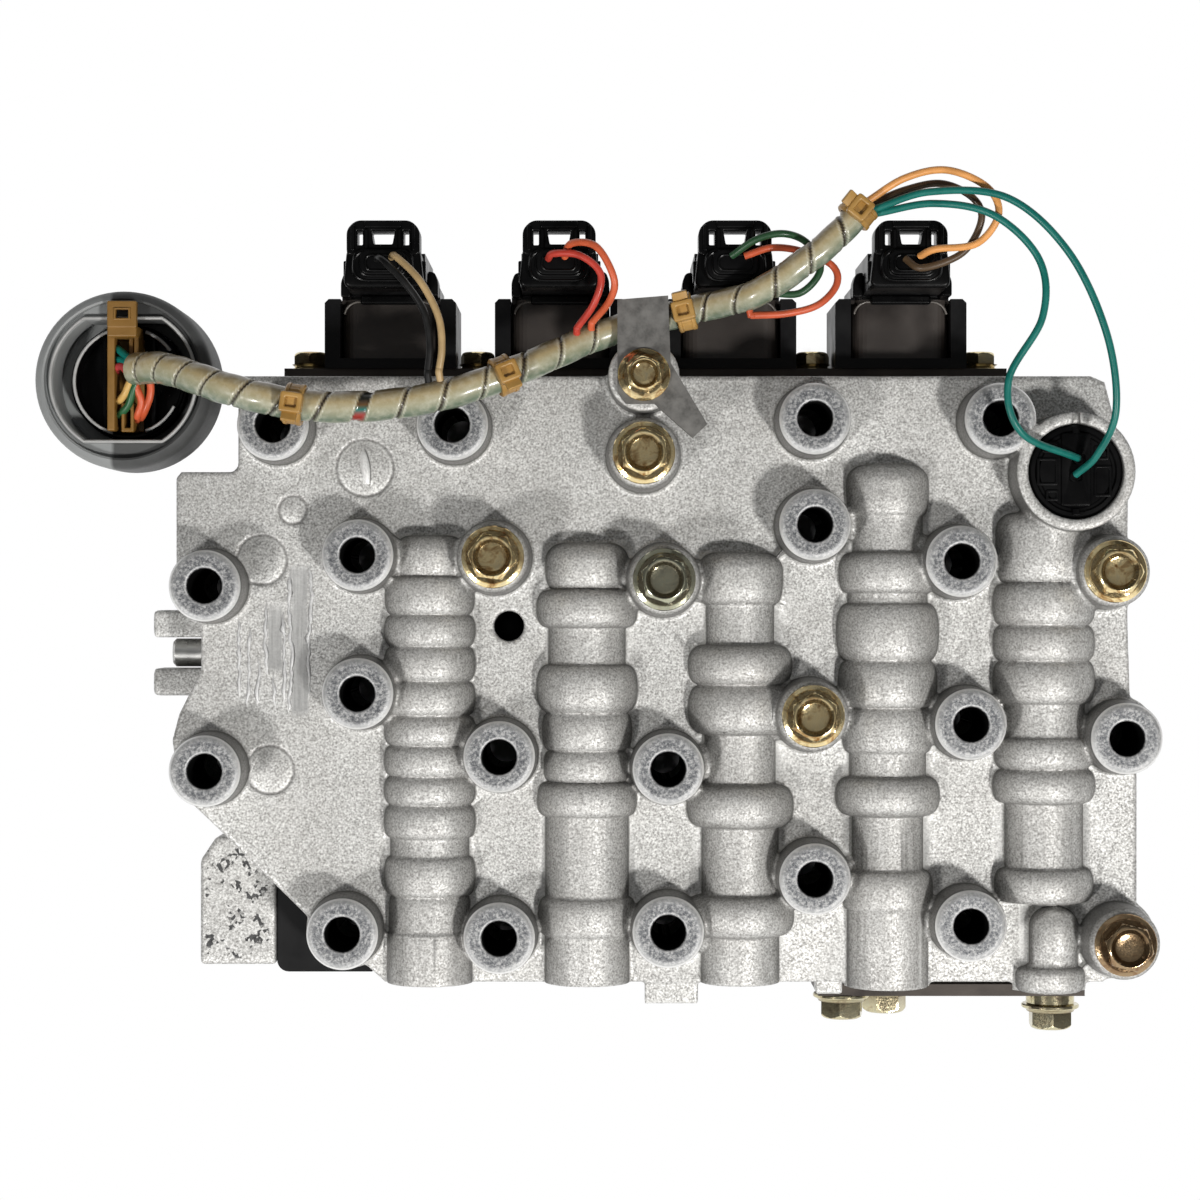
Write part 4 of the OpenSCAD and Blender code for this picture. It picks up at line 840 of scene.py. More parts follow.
def turnedFaces(spec):
    kit = Kit("ring", "rim")
    top = stack["boss"] + spec["lift"]
    inner, outer, shoulder = spec["inner"], spec["outer"], spec["shoulder"]
    # radius, height and painted light of each step across the face: above 0 a painted highlight on the rounded rim,
    # below 0 painted shade down the bore
    steps = [(inner - 0.06, 0.3, -1), (inner - 0.06, top - 0.75, -1), (inner - 0.02, top - 0.5, -0.3),
             (inner + 0.1, top - 0.2, 0), (inner + 0.35, top, 0.25), (inner + 0.8, top, 0), (outer - 0.5, top, 0),
             (outer, top, 0.1), (outer + 0.4, top - 0.08, 0.22), (outer + 0.9, top - 0.3, 0.4),
             (shoulder - 0.4, top - 0.55, 0.85), (shoulder - 0.12, top - 0.92, 1), (shoulder, top - 1.3, 0.2),
             (shoulder + 0.03, top - 1.6, 0), (shoulder + 0.08, top - 2.2, 0), (shoulder - 0.4, top - 3.2, 0)]
    profile = [(r, z) for r, z, bright in steps]
    tags = [{"ring": r, "rim": bright} for r, z, bright in steps]
    for x, y in spec["holes"]:
        kit.lathe(profile, Matrix.Translation((x, y, 0)), spec["sides"], start=False, end=False, tags=tags)
    # painted shade: the well is painted black inside
    kit.marks = {"ring": 0, "rim": -1}
    x, y, r, low = spec["well"]
    kit.lathe([(0.01, low), (r, low), (r, stack["deck"] - 0.6)], Matrix.Translation((x, y, 0)), end=False)
    kit.piece("turnedFaces", "turned", "cast_aluminium", sharp=None)


turnedFaces(bosses)

# thin burrs left beside the ground strips: x, lower y, upper y
burrs = {"lines": [(-91.3, -9.0, 28.6), (-86.3, -5.0, 29.2), (-97.1, 1.0, 19.6), (-92.9, -6.6, 17.2),
                   (-104.2, -5.2, 16.6), (-101.8, -6.8, 13.4), (-99.3, -7.2, 6.0), (-95.3, -7.6, 1.4)],
         "half": 1.0, "tall": 0.42, "step": 1.2, "drift": 0.34, "shine": 0.5, "seed": 4}


def makeBurrs(spec):
    kit = Kit("ring", "rim")
    kit.marks = {"ring": 0, "rim": spec["shine"]}
    chance = random.Random(spec["seed"])
    foot = stack["deck"] - 0.2
    for x, low, high in spec["lines"]:
        count = round((high - low) / spec["step"])
        rows, drift = [], 0
        for i in range(count + 1):
            taper = min(1, i / 3 + 0.1, (count - i) / 3 + 0.1)
            drift = 0.75 * drift + chance.uniform(-1, 1) * spec["drift"]
            half = spec["half"] * taper * chance.uniform(0.5, 1)
            crest = stack["deck"] + spec["tall"] * taper * chance.uniform(0.4, 1)
            y, ridge = low + i * spec["step"], x + drift
            rows.append([(ridge - half, y, foot), (ridge, y, crest), (ridge + half, y, foot)])
        kit.skin(rows, start=True, end=True)
    kit.piece("groundBurrs", "turned", "cast_aluminium", sharp=None)


makeBurrs(burrs)
print("castings shaped")


# loom and wires, on the routes of the solids; gap, seam and lip of the wrap are shares of a turn
loom = {"route": [(-129.4, 77.5, 44.4), (-120, 76.8, 51), (-103, 71, 58.8), (-85, 67.2, 60.4), (-66, 67.4, 60.4),
                  (-48, 70.8, 60), (-30, 77.8, 56.4), (-12, 85.9, 50), (11, 91.9, 50), (24, 94.6, 58.4),
                  (36, 102, 61.4), (44.4, 109, 61.6), (49.8, 115.3, 61.4)],
        "from": 8.2, "to": 6.8, "pitch": 10.0, "firstPitch": 5.6, "firstRun": 42.0, "gap": 0.042, "gapDrift": 0.5,
        "driftScale": 0.12, "driftSeed": 3.3, "groove": 0.5, "seamSoft": 0.02, "lipAt": 0.045, "lipHalf": 0.035,
        "crown": 0.1, "sides": 56, "step": 0.4, "wideAt": -71.5, "wide": 3.4, "wideReach": 5.0}


def smoothPath(route, step):
    # a curve through every point, cut into even steps
    p = [Vector(q) for q in route]
    p = [2 * p[0] - p[1]] + p + [2 * p[-1] - p[-2]]
    dense = []
    for i in range(1, len(p) - 2):
        for k in range(40):
            t = k / 40
            a, b, c, d = p[i - 1:i + 3]
            dense.append(0.5 * (2 * b + (c - a) * t + (2 * a - 5 * b + 4 * c - d) * t * t
                                + (3 * b - a - 3 * c + d) * t ** 3))
    dense.append(p[-2])
    gone = np.concatenate([[0], np.cumsum([(b - a).length for a, b in zip(dense, dense[1:])])])
    count = max(2, int(round(gone[-1] / step)) + 1)
    marks = np.linspace(0, gone[-1], count)
    flat = np.array([tuple(q) for q in dense])
    return [Vector(q) for q in np.stack([np.interp(marks, gone, flat[:, k]) for k in range(3)], 1)], float(gone[-1])


def framesAlong(path):
    # heading, side and up at every point, with no twist against the vertical
    out = []
    for i in range(len(path)):
        ahead = (path[min(i + 1, len(path) - 1)] - path[max(i - 1, 0)]).normalized()
        side = Vector((0, 0, 1)).cross(ahead).normalized()
        out.append((ahead, side, ahead.cross(side).normalized()))
    return out


# milky spiral wrap; around is -1 on the -Y side and 1 on the +Y side; the seam colour is painted shade where the seam
# is narrow, and light on the lip is a painted highlight
wrap = {"green": (0.13, 0.18, 0.125), "mid": (0.39, 0.365, 0.24), "beige": (0.42, 0.335, 0.175),
        "brown": (0.21, 0.16, 0.085), "light": (0.66, 0.64, 0.52), "seam": (0.03, 0.019, 0.01),
        "wires": [(0.16, (0.30, 0.03, 0.02)), (0.34, (0.0, 0.14, 0.12)), (0.52, (0.12, 0.06, 0.02)),
                  (0.74, (0.02, 0.02, 0.015))]}


def wrapFinish(name, spec):
    s = Sheet(name)
    around, seam, lip, wide = s.value("around"), s.value("seam"), s.value("lip"), s.value("wide")
    streak = s.noise(0.5, 3, 0.6)
    fine = s.noise(2.2, 3, 0.6)
    milk = s.ramp(s.span(around, -1, 1), (0.08, spec["green"]), (0.4, spec["mid"]), (0.62, spec["beige"]),
                  (0.92, spec["brown"]))
    milk = s.mix(s.span(streak, 0.42, 0.7, 0, 0.3), milk, spec["light"])
    milk = s.mix(s.span(fine, 0.4, 0.75, 0, 0.14), milk, spec["brown"])
    bundle = s.ramp(s.span(around, -1, 1), *spec["wires"])         # wires seen where the wrap stands open
    # painted shade where the seam is narrow; where it stands wide, the wires' own colours
    deep = s.mix(s.span(wide, 0.2, 0.6), spec["seam"], bundle)
    # painted highlight on the lip beside the seam
    color = s.mix(s.times(lip, 0.65), milk, spec["light"])
    color = s.mix(seam, color, deep)
    s.set(Base_Color=color, Roughness=0.28, Coat_Weight=0.35, Coat_Roughness=0.15, Subsurface_Weight=0.12)
    s.set(Subsurface_Radius=(0.002, 0.0018, 0.0012), Specular_IOR_Level=0.4)
    s.set(Normal=s.bump(streak, 0.12, 0.1))
    return s.mat


def loomRadius(share):
    return (loom["from"] + (loom["to"] - loom["from"]) * share) / 2


def makeLoom(spec):
    path, length = smoothPath(spec["route"], spec["step"])
    turns = framesAlong(path)
    kit = Kit("around", "seam", "lip", "wide")
    rows, wound = [], 0.0
    for i, (p, turn) in enumerate(zip(path, turns)):
        side, up = turn[1:]
        gone, r = i * spec["step"], loomRadius(i / (len(path) - 1))
        early = max(0.0, 1 - gone / spec["firstRun"])              # closer turns near the connector
        wound += spec["step"] / (spec["pitch"] + (spec["firstPitch"] - spec["pitch"]) * early)
        opened = max(0.0, 1 - abs(p.x - spec["wideAt"]) / spec["wideReach"])
        drift = spec["gapDrift"] * noise.noise(Vector((gone * spec["driftScale"], 0, spec["driftSeed"])))
        width = spec["gap"] * (1 + drift) + spec["gap"] * spec["wide"] * opened
        row = []
        for k in range(spec["sides"]):
            a = tau * k / spec["sides"]
            phase = (wound + a / tau) % 1
            off = min(phase, 1 - phase)            # share of a turn from the seam
            inSeam = max(0.0, min(1.0, (width - off) / spec["seamSoft"] + 0.5))
            lip = max(0.0, 1 - abs(off - width - spec["lipAt"]) / spec["lipHalf"])
            swell = spec["crown"] * (lip - 1 - math.cos(tau * phase))
            kit.marks = {"around": math.cos(a), "seam": inSeam, "lip": lip, "wide": opened}
            row.append(kit.point(p + (side * math.cos(a) + up * math.sin(a)) * (r - spec["groove"] * inSeam + swell)))
        rows.append(row)
    kit.join(rows, start=True, end=True)
    piece = kit.piece("loomWrap", wrapFinish("milkyWrap", wrap), "loom_wrap", ["loom"], sharp=60)
    return piece, path, turns, length


loomPiece, loomPath, loomTurns, loomLength = makeLoom(loom)
print("loom wrapped, %.0f mm" % loomLength)

# ties round the loom: stretch of the route, share of it, and the side that the cut tail points to
ties = {"spots": [(2, 0.85, -1), (5, 0.6, -1), (7, 0.835, 1), (11, 0.8, 1)], "width": 4.6, "thick": 1.1,
        "slack": 0.05, "headHigh": 3.9, "headWide": 5.0, "headLong": 5.4, "tail": 3.2, "lean": 0.5,
        "ridges": 26, "ridgeHigh": 0.08, "ridgeDeep": 0.25, "sides": 96}


def tiePlace(stretch, share):
    # frame of a tie on the loom, and the loom's radius there
    a, b = Vector(loom["route"][stretch]), Vector(loom["route"][stretch + 1])
    at = a + (b - a) * share
    i = min(range(len(loomPath)), key=lambda j: (loomPath[j] - at).length)
    place = Matrix(loomTurns[i]).transposed().to_4x4()
    place.translation = loomPath[i]
    return place, loomRadius(i / (len(loomPath) - 1))


def makeTie(number, stretch, share, hand, spec):
    place, radius = tiePlace(stretch, share)
    inner, half = radius + spec["slack"], spec["width"] / 2
    rim = inner + spec["thick"]
    kit = Kit()
    rows = []
    for k in range(spec["sides"]):
        t = tau * k / spec["sides"]
        teeth = rim - spec["ridgeDeep"] + spec["ridgeHigh"] * math.sin(spec["ridges"] * t)
        loop = [(-half, inner), (-half, rim - 0.3), (-half + 0.3, rim), (-half * 0.55, rim), (-half * 0.5, teeth),
                (half * 0.5, teeth), (half * 0.55, rim), (half - 0.3, rim), (half, rim - 0.3), (half, inner)]
        rows.append([(x, r * math.cos(t), r * math.sin(t)) for x, r in loop])
    kit.skin(rows, place, ring=True)
    # head with its window, the strap inside it, and the cut tail
    low, high, wide, long = inner + 0.5, inner + spec["headHigh"], spec["headWide"] / 2, spec["headLong"] / 2
    window = rect(-half * 0.6, half * 0.6, -wide * 0.45, wide * 0.45, 0.3)
    kit.plate([rect(-long, long, -wide, wide, 0.8), window], low, high, 0.45, place)
    kit.plate([rect(-half * 0.7, half * 0.7, -wide * 0.5, wide * 0.5, 0.2)], low, high - 1.3, 0.15, place)
    lean = Matrix.Translation((0, hand * wide * 0.8, low + 1.4)) @ Matrix.Rotation(hand * spec["lean"], 4, "X")
    ends = sorted((0, hand * spec["tail"]))
    kit.plate([rect(-half * 0.82, half * 0.82, *ends, 0.4)], 0, 1.0, 0.2, place @ lean)
    return kit.piece("cableTie%d" % number, "nylon", "tan_nylon", ["cable_ties"], sharp=40)


tiePieces = [makeTie(number, *spot, ties) for number, spot in enumerate(ties["spots"], 1)]

# leads: slot, then colour and route of each wire
wires = {
    "solenoid_1_leads": ["wire_tan", [
        ((0.004, 0.004, 0.004), [(-68.5, 103.6, 54.8), (-67, 103, 58), (-61.5, 97.5, 61), (-56.5, 90, 61.5),
                                 (-55, 82, 61.5), (-55.6, 74.8, 61.2)]),
        ((0.36, 0.25, 0.12), [(-64.8, 104, 54.8), (-63.4, 103.6, 58.4), (-57.5, 97.5, 62.6), (-53, 89, 63),
                              (-52, 81.5, 63), (-52.8, 75.2, 62)])]],
    "solenoid_2_leads": ["wire_red", [
        ((0.40, 0.036, 0.022), [(-26.4, 103.6, 54.8), (-25, 104.4, 58.4), (-18.6, 103.6, 61), (-13.6, 99, 62),
                                (-15, 92.4, 60.6), (-19.4, 86.4, 56)]),
        ((0.50, 0.092, 0.034), [(-22.4, 104, 54.8), (-20.6, 106.6, 60.6), (-14.6, 105.2, 65), (-10.4, 97.6, 65),
                              (-11.4, 92.6, 61.6), (-15.8, 87.8, 55)])]],
    "solenoid_3_leads": ["wire_green", [
        ((0.012, 0.05, 0.018), [(18.4, 104.2, 54.8), (24.5, 108, 57.6), (31.1, 109.2, 58.6), (37, 107.2, 55.8),
                                (40.2, 101, 55.6), (35.4, 95.2, 55.4), (28, 95.2, 54.4)]),
        ((0.46, 0.08, 0.03), [(21.6, 104.2, 54.8), (28.4, 106.2, 55.4), (36.4, 105.4, 53.4), (43.4, 102, 53),
                               (44.2, 97.2, 54.2), (39.6, 92.2, 55.6), (32, 90, 56.6), (23, 89.4, 57.2)])]],
    "solenoid_4_leads": ["wire_orange", [
        ((0.60, 0.27, 0.08), [(50.8, 116.4, 62.4), (60, 122, 63.6), (70, 123.8, 64.4), (79.6, 119.6, 65),
                              (82.4, 113, 65), (77.6, 106.4, 62), (68, 105.4, 59), (64.6, 104.2, 54.8)]),
        ((0.06, 0.035, 0.016), [(51.6, 115.9, 60.4), (60, 119.4, 61.2), (69, 121, 61.4), (76.6, 117.6, 61.4),
                                (78.8, 112.2, 61), (74.6, 104.6, 58.6), (65, 101, 57.4), (61, 103.6, 54.8)])]],
    "sensor_leads": ["wire_teal", [
        ((0.0, 0.115, 0.094), [(52.6, 114.6, 62.6), (66, 118.4, 65.6), (84, 116.4, 69.2), (98.4, 103.4, 70),
                               (107.6, 84, 69.6), (110.4, 66, 67), (107, 55.4, 61), (102.6, 50.6, 55.4)]),
        ((0.0, 0.115, 0.094), [(53, 113.8, 60.6), (67, 115.8, 64), (81, 112.4, 67.6), (91.8, 101.6, 68),
                               (92.6, 88, 67.6), (84.6, 73, 66.6), (88, 60.4, 64.6), (103.4, 54.6, 55.4)])]],
}
wireShape = {"thick": 1.8, "step": 1.0, "tucked": ["solenoid_1_leads", "solenoid_2_leads", "solenoid_3_leads"]}


def wireFinish(name, color):
    pale = [min(1, c * 1.4 + 0.008) for c in color]
    return coatedFinish(name, {"deep": color, "pale": pale, "rough": 0.36, "patch": 0.2, "fleck": 0.2,
                               "specular": 0.35})


def makeWire(node, number, color, route, slot):
    path, length = smoothPath(route, wireShape["step"])
    curve = bpy.data.curves.new("%s_%d" % (node, number), "CURVE")
    curve.dimensions = "3D"
    curve.bevel_depth = wireShape["thick"] / 2 * mm
    curve.bevel_resolution = 4
    curve.use_fill_caps = True
    line = curve.splines.new("POLY")
    line.points.add(len(path) - 1)
    for point, p in zip(line.points, path):
        point.co = (*(p * mm), 1)
    obj = bpy.data.objects.new(curve.name, curve)
    scene.collection.objects.link(obj)
    curve.materials.append(wireFinish("wireCover_%s_%d" % (slot, number), color))
    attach(obj, "castings")
    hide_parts(node)


def tuckWire(node, number, color, route, slot):
    # the end of a lead that goes in under the wrapping
    path, end = smoothPath(loom["route"], wireShape["step"])[0], Vector(route[-1])
    near = min(path, key=lambda p: (p - end).length)
    kit = Kit()
    start = smoothPath(route, wireShape["step"])[0][-2]
    kit.tube([start, end, end.lerp(near, 0.35), end.lerp(near, 0.7)], wireShape["thick"] / 2, 16)
    kit.piece("tucked_%s_%d" % (node, number), wireFinish("wireEnd_%s_%d" % (slot, number), color), slot, sharp=None)


for node, (slot, pair) in wires.items():
    for number, (color, route) in enumerate(pair, 1):
        makeWire(node, number, color, route, slot)
        if node in wireShape["tucked"]:
            tuckWire(node, number, color, route, slot)
print("wires laid")

# case connector at the loom's end: heights from the case face, plan sizes from its own middle;
# lips and walls are arcs (first and last angle, radius)
connector = {"at": (-132.4, 74.8), "outer": 22.3, "barrel": 17.5, "rim": 18.8, "flat": 15.4, "socket": 14.4,
             "socketFloor": 12, "well": 31, "lips": [(108, 254, 13.4), (290, 332, 13.2), (36, 70, 13.2)],
             "walls": [(112, 250, 13.4), (288, 334, 13.2), (34, 72, 13.2)], "arcX": 0.2,
             "bars": (-6.6, 5.6), "pinX": (-8, -4, 0, 4, 8), "pinY": (-3, 3)}

# tan retainer in the connector: low, high and lip of each plate, then outline and window (x, x, y, y, corner)
retainer = [
    (45.1, 47.4, 0.3, [(-3.4, 3.9, 12.6, 19.3, 0.5), (-1.3, 2.0, 14.9, 17.2, 0.25)]),          # hook
    (46.6, 47.75, 0.2, [(-1.75, 2.45, 14.5, 17.6, 0.3), (-1.2, 1.9, 15.0, 17.1, 0.2)]),
    (36, 47.2, 0.4, [(-3.4, 3.9, 10.4, 13.2, 0.4)]),
    (35.5, 43.2, 0.35, [(-4.1, -2.2, -12.6, 13, 0.4)]),                                        # long leg
    (35.5, 43, 0.25, [(2.6, 3.8, 6.6, 13, 0.3)]),
    (31.2, 33.2, 0.3, [(-3.3, 3.5, -12.4, 11, 0.4)]),
    (33, 41.2, 0.25, [(-0.9, 2.2, -12.8, -5.6, 0.3), (-0.1, 1.4, -11.8, -7.2, 0.2)]),          # fork
    (33, 40.5, 0.25, [(0.9, 2.0, 4.4, 11, 0.3)]),
]


def circle(r, sides):
    return arc(0, 0, r, 0, 360 * (sides - 1) / sides, sides - 1)


def connectorShell(at, spec):
    outer, barrel, rim, flat = spec["outer"], spec["barrel"], spec["rim"], spec["flat"]
    mouth, floor = spec["socket"] + 0.3, spec["well"] - 1
    kit = Kit()
    # barrel and flange, hollow from below, up to the lip of the outer ring
    kit.lathe([(mouth, floor), (mouth, 0.4), (spec["socket"] + 0.7, 0), (barrel - 0.5, 0), (barrel, 0.5), (barrel, 8),
               (barrel - 1.5, 8.2), (barrel - 1.5, 10.8), (barrel, 11), (barrel, 19.6), (barrel + 0.6, 20),
               (outer - 0.6, 22.7), (outer, 23.4), (outer, 40), (outer - 0.2, 42.4), (outer - 0.9, 44),
               (outer - 2.2, 44.9), (outer - 2.7, 44.6), (outer - 2.8, 43.2), (outer - 2.8, 40)],
              at, 96, start=False, end=False)
    # shelf between the ring and the keyed rim, then the rim with its rounded lip, and the floor
    kit.plate([circle(outer - 1.0, 96), keyed(rim - 0.2, flat)], 38.5, 42.6, 0.35, at)
    kit.plate([rounded(keyed(rim, flat + 0.5), 0.1, 1), keyed(rim - 1.3, flat - 0.6)], floor, 43.7, 0.5, at)
    kit.plate([keyed(rim - 0.6, flat), circle(mouth, 64)], floor, spec["well"], 0.2, at)
    return kit.piece("connectorShell", "shell", "grey_shell", ["connector_shell"], sharp=32)


def connectorLips(at, spec):
    # lips along the rims, painted pale as highlights
    kit = Kit()
    edge = keyed(spec["rim"] - 0.65, spec["flat"] - 0.05, 36)
    kit.tube([(*p, 43.75) for p in edge], 0.42, 10, at, ring=True)
    for a0, a1, r in spec["lips"]:
        kit.tube([(*p, 38.2) for p in arc(spec["arcX"], 0, r, a0, a1, 30)], 0.42, 8, at)
    return kit.piece("connectorLips", "lip", "grey_shell", sharp=None)


def connectorInsert(at, spec):
    # black insert with its pins below
    kit = Kit()
    r, floor, x = spec["socket"], spec["well"], spec["arcX"]
    kit.lathe([(r, spec["socketFloor"]), (r, 35.6), (r - 0.4, 36), (r - 0.9, 36), (r - 1.2, 35.7), (r - 1.2, 31.4),
               (r - 1.6, floor)], at, 64)
    for a0, a1, middle in spec["walls"]:
        wall = arc(x, 0, middle + 0.5, a0, a1, 20) + arc(x, 0, middle - 0.5, a1, a0, 20)
        kit.plate([wall], floor, 38.1, 0.2, at)
    for bar in spec["bars"]:
        kit.plate([rect(bar, bar + 1.2, -11.5, 11.5, 0.4)], floor, 35.5, 0.3, at)
    for pinX in spec["pinX"]:
        for pinY in spec["pinY"]:
            pin = at @ Matrix.Translation((pinX, pinY, 0))
            kit.lathe([(0.8, 12.2), (0.8, 7), (0.4, 6.2)], pin, 16, start=False)
    return kit.piece("connectorInsert", "plug", "black_plug", ["connector_insert"], sharp=32)


def terminalRetainer(at, plates):
    kit = Kit()
    for low, high, lip, outlines in plates:
        kit.plate([rect(*sides) for sides in outlines], low, high, lip, at)
    return kit.piece("terminalRetainer", "retainer", "tan_nylon", ["terminal_retainer"], sharp=35)


connectorAt = Matrix.Translation((*connector["at"], 0))
connectorPieces = [connectorShell(connectorAt, connector), connectorLips(connectorAt, connector),
                   connectorInsert(connectorAt, connector), terminalRetainer(connectorAt, retainer)]

# ends of the wires in the connector, from its own middle, in mm
tails = {"thick": 0.95, "step": 0.5, "list": [
    ("wire_teal", (0.0, 0.17, 0.14), [(-2.4, 8.2, 38), (-1.4, 7.6, 41.4), (1.6, 5.2, 43.2), (4, 3.4, 44.6)]),
    ("wire_teal", (0.0, 0.17, 0.14), [(-2.6, 5.6, 38), (-1.6, 5.2, 41.2), (1.2, 4.2, 42.8), (4, 2.6, 44)]),
    ("wire_red", (0.40, 0.04, 0.04), [(-2.6, 2.4, 37.5), (-2.0, 3.2, 41.4), (-0.4, 3.4, 42.6), (0.6, 2.4, 42.8),
                                      (3.4, 2.0, 43.4)]),
    ("wire_orange", (0.58, 0.36, 0.11), [(-2.6, -4.6, 37.5), (-1.4, -4.9, 40.8), (0.2, -3.4, 42.4),
                                         (1.6, -0.6, 43.2), (3.6, 1.4, 43.6)]),
    ("wire_green", (0.015, 0.085, 0.03), [(-2.4, -8.6, 37.5), (-1.0, -8.0, 40.2), (1.0, -6.0, 41.6),
                                          (2.4, -2.2, 42.8), (3.8, 1.2, 43.2)]),
    ("wire_red", (0.50, 0.085, 0.03), [(2.4, -9.6, 37.2), (3.0, -8.8, 40.4), (4.2, -5.2, 41.8), (3.0, -1.4, 42.8),
                                       (3.2, 1.2, 43.4)]),
    ("wire_red", (0.50, 0.085, 0.03), [(3.4, -9.2, 37.6), (4.8, -7.8, 40.8), (6.4, -4.2, 42.2), (6.6, -0.8, 42.8),
                                       (5.2, 1.4, 43.2)])]}


def makeTail(number, slot, color, route, spec):
    kit = Kit()
    kit.tube(smoothPath(route, spec["step"])[0], spec["thick"], 12, connectorAt)
    return kit.piece("connectorWire%d" % number, wireFinish("tailCover%d" % number, color), slot, sharp=None)


tailPieces = [makeTail(number, *tail, tails) for number, tail in enumerate(tails["list"], 1)]
print("connector made")

# flange bolts: place, turn of the hexagon and tone of the plating, with the wrench size, flange and shank
up, front, back = Matrix(), Matrix.Rotation(-math.pi / 2, 4, "X"), Matrix.Rotation(math.pi / 2, 4, "X")
solenoidPitch = {"firstX": -67.1, "pitch": 43.3}
bolts = {
    "body_bolts": {"name": "bodyBolts", "af": 10.6, "flange": 15.4, "shank": 44.4, "thread": 3.0, "face": up,
                   "list": [(*at, stack["boss"], spin, tone) for at, spin, tone in
                            zip(bosses["covered"], (4, 22, 11, 0, 28, 16), (0.0, 0.0, 0.5, 0.12, 0.05, 1.0))]},
    "bracket_bolt": {"name": "bracketBolt", "af": 8, "flange": 12.8, "shank": 18, "thread": 2.5, "face": up,
                     "list": [(-3, 75, 56.4, 8, 0.0)]},
    "solenoid_plate_bolts": {"name": "plateBolts", "af": 8, "flange": 9.4, "shank": 9, "thread": 2.5, "face": front,
                             "list": [(solenoidPitch["firstX"] + (i - 0.5) * solenoidPitch["pitch"],
                                       stack["solenoidFace"], stack["solenoidAxis"], 13 * i, 0.2) for i in range(5)]},
    "cover_bolts": {"name": "coverBolts", "af": 10, "flange": 14.8, "shank": 11.6, "thread": 3.0, "face": back,
                    "list": [(48.5, -81.1, 19, 10, 0.3), (60.5, -81.1, 8, 25, 0.3), (102.5, -84.1, 17, 0, 0.3)],
                    "washer": (102.5, -81.1, 17)},
}
washer = [(3.3, 0), (6.0, 0), (6.2, 0.2), (6.2, 2.7), (6.0, 2.98), (3.3, 2.98)]


def hexBolt(kit, place, spec):
    af, flange, shank, thread = spec["af"], spec["flange"] / 2, -spec["shank"], spec["thread"]
    high, dish, corner = af * 0.64, af * 0.42, af / math.sqrt(3)

    def hexagon(a, r, z):
        flatR = af / 2 / math.cos((a + math.pi / 6) % (math.pi / 3) - math.pi / 6)
        return min(r, flatR) if 2.0 < z and r > dish + 0.35 else r

    # shank, flange, hexagon with its turned corners, then the dished top; the last list is painted shade on each step
    # of it, in the crease under the hexagon and in the dish
    profile = [(0.01, shank), (thread - 0.5, shank), (thread, shank + 0.6), (thread, 0.02), (flange - 0.25, 0.02),
               (flange, 0.25), (flange, 0.75), (flange - 0.2, 1.0), (flange * 0.86, 1.35),
               (max(corner + 0.25, flange * 0.74), 1.95), (corner + 0.12, 2.05), (corner, 2.3), (corner, high - 1.15)]
    profile += [(corner - (corner - af * 0.47) * (k / 5) ** 1.5, high - 1.15 + 1.05 * k / 5) for k in range(1, 6)]
    profile += [(af * 0.445, high), (dish + 0.2, high), (dish, high - 0.15), (dish * 0.86, high - 0.9),
                (dish * 0.78, high - 1.25), (dish * 0.66, high - 1.4), (dish * 0.3, high - 1.45), (0.01, high - 1.45)]
    hexShadeTags = [0] * 8 + [0.25, 1, 1, 0.6] + [0] * 6 + [0, 0.35, 0.9, 1, 0.85, 0.5, 0.3, 0.3]
    kit.lathe(profile, place, 72, hexagon, tags=[{"paintedCreaseShade": g} for g in hexShadeTags])


for node, spec in bolts.items():
    kit = Kit("tone", "paintedCreaseShade")
    for x, y, z, spin, tone in spec["list"]:
        kit.marks = {"tone": tone, "paintedCreaseShade": 0}
        turn = Matrix.Rotation(math.radians(spin), 4, "Z")
        hexBolt(kit, Matrix.Translation((x, y, z)) @ spec["face"] @ turn, spec)
    kit.marks["paintedCreaseShade"] = 0
    if "washer" in spec:                            # loose washer under the right-hand bolt
        kit.lathe(washer, Matrix.Translation(spec["washer"]) @ back, 64, start=False, end=False)
    kit.piece(spec["name"], "plated", "zinc_bolt", [node], sharp=28)
print("bolts made")

# springs behind the spools, wound here at one length, though they shorten as the spools slide; the wire is a share of
# the coil's radius
springs = {"count": 5, "turns": 6, "perTurn": 24, "wire": 0.106, "sides": 10, "travel": 5}


def makeSpring(number, spec):
    node = "spring_%d" % number
    low, high = (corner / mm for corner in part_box(node))
    middle, outer = (low + high) / 2, (high.x - low.x) / 2
    wire = outer * spec["wire"]
    count, room = spec["turns"] * spec["perTurn"], high.y - low.y - 2 * wire
    path = []
    for k in range(count + 1):
        a, coil = tau * k / spec["perTurn"], outer - wire
        path.append((middle.x + coil * math.cos(a), low.y + wire + room * k / count, middle.z + coil * math.sin(a)))
    kit = Kit()
    kit.tube(path, wire, spec["sides"])
    piece = kit.piece("spoolSpring%d" % number, "spring", "spring_steel", [node], sharp=None)
    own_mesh(piece)


for number in range(1, springs["count"] + 1):
    makeSpring(number, springs)
print("springs wound")

# solenoids: plugs on top and the small mouldings on the coil bodies, from the middle of each solenoid's face
solenoids = {"count": 4, "plugHalf": 9.0, "plugY": (18.0, 27.8), "plugZ": (26.3, 40.0), "reach": 34.4,
             "latch": (30, 38), "ribs": [(0, 0.0), (1.5, -0.8), (2.9, -1.0)], "ribThick": 0.34}


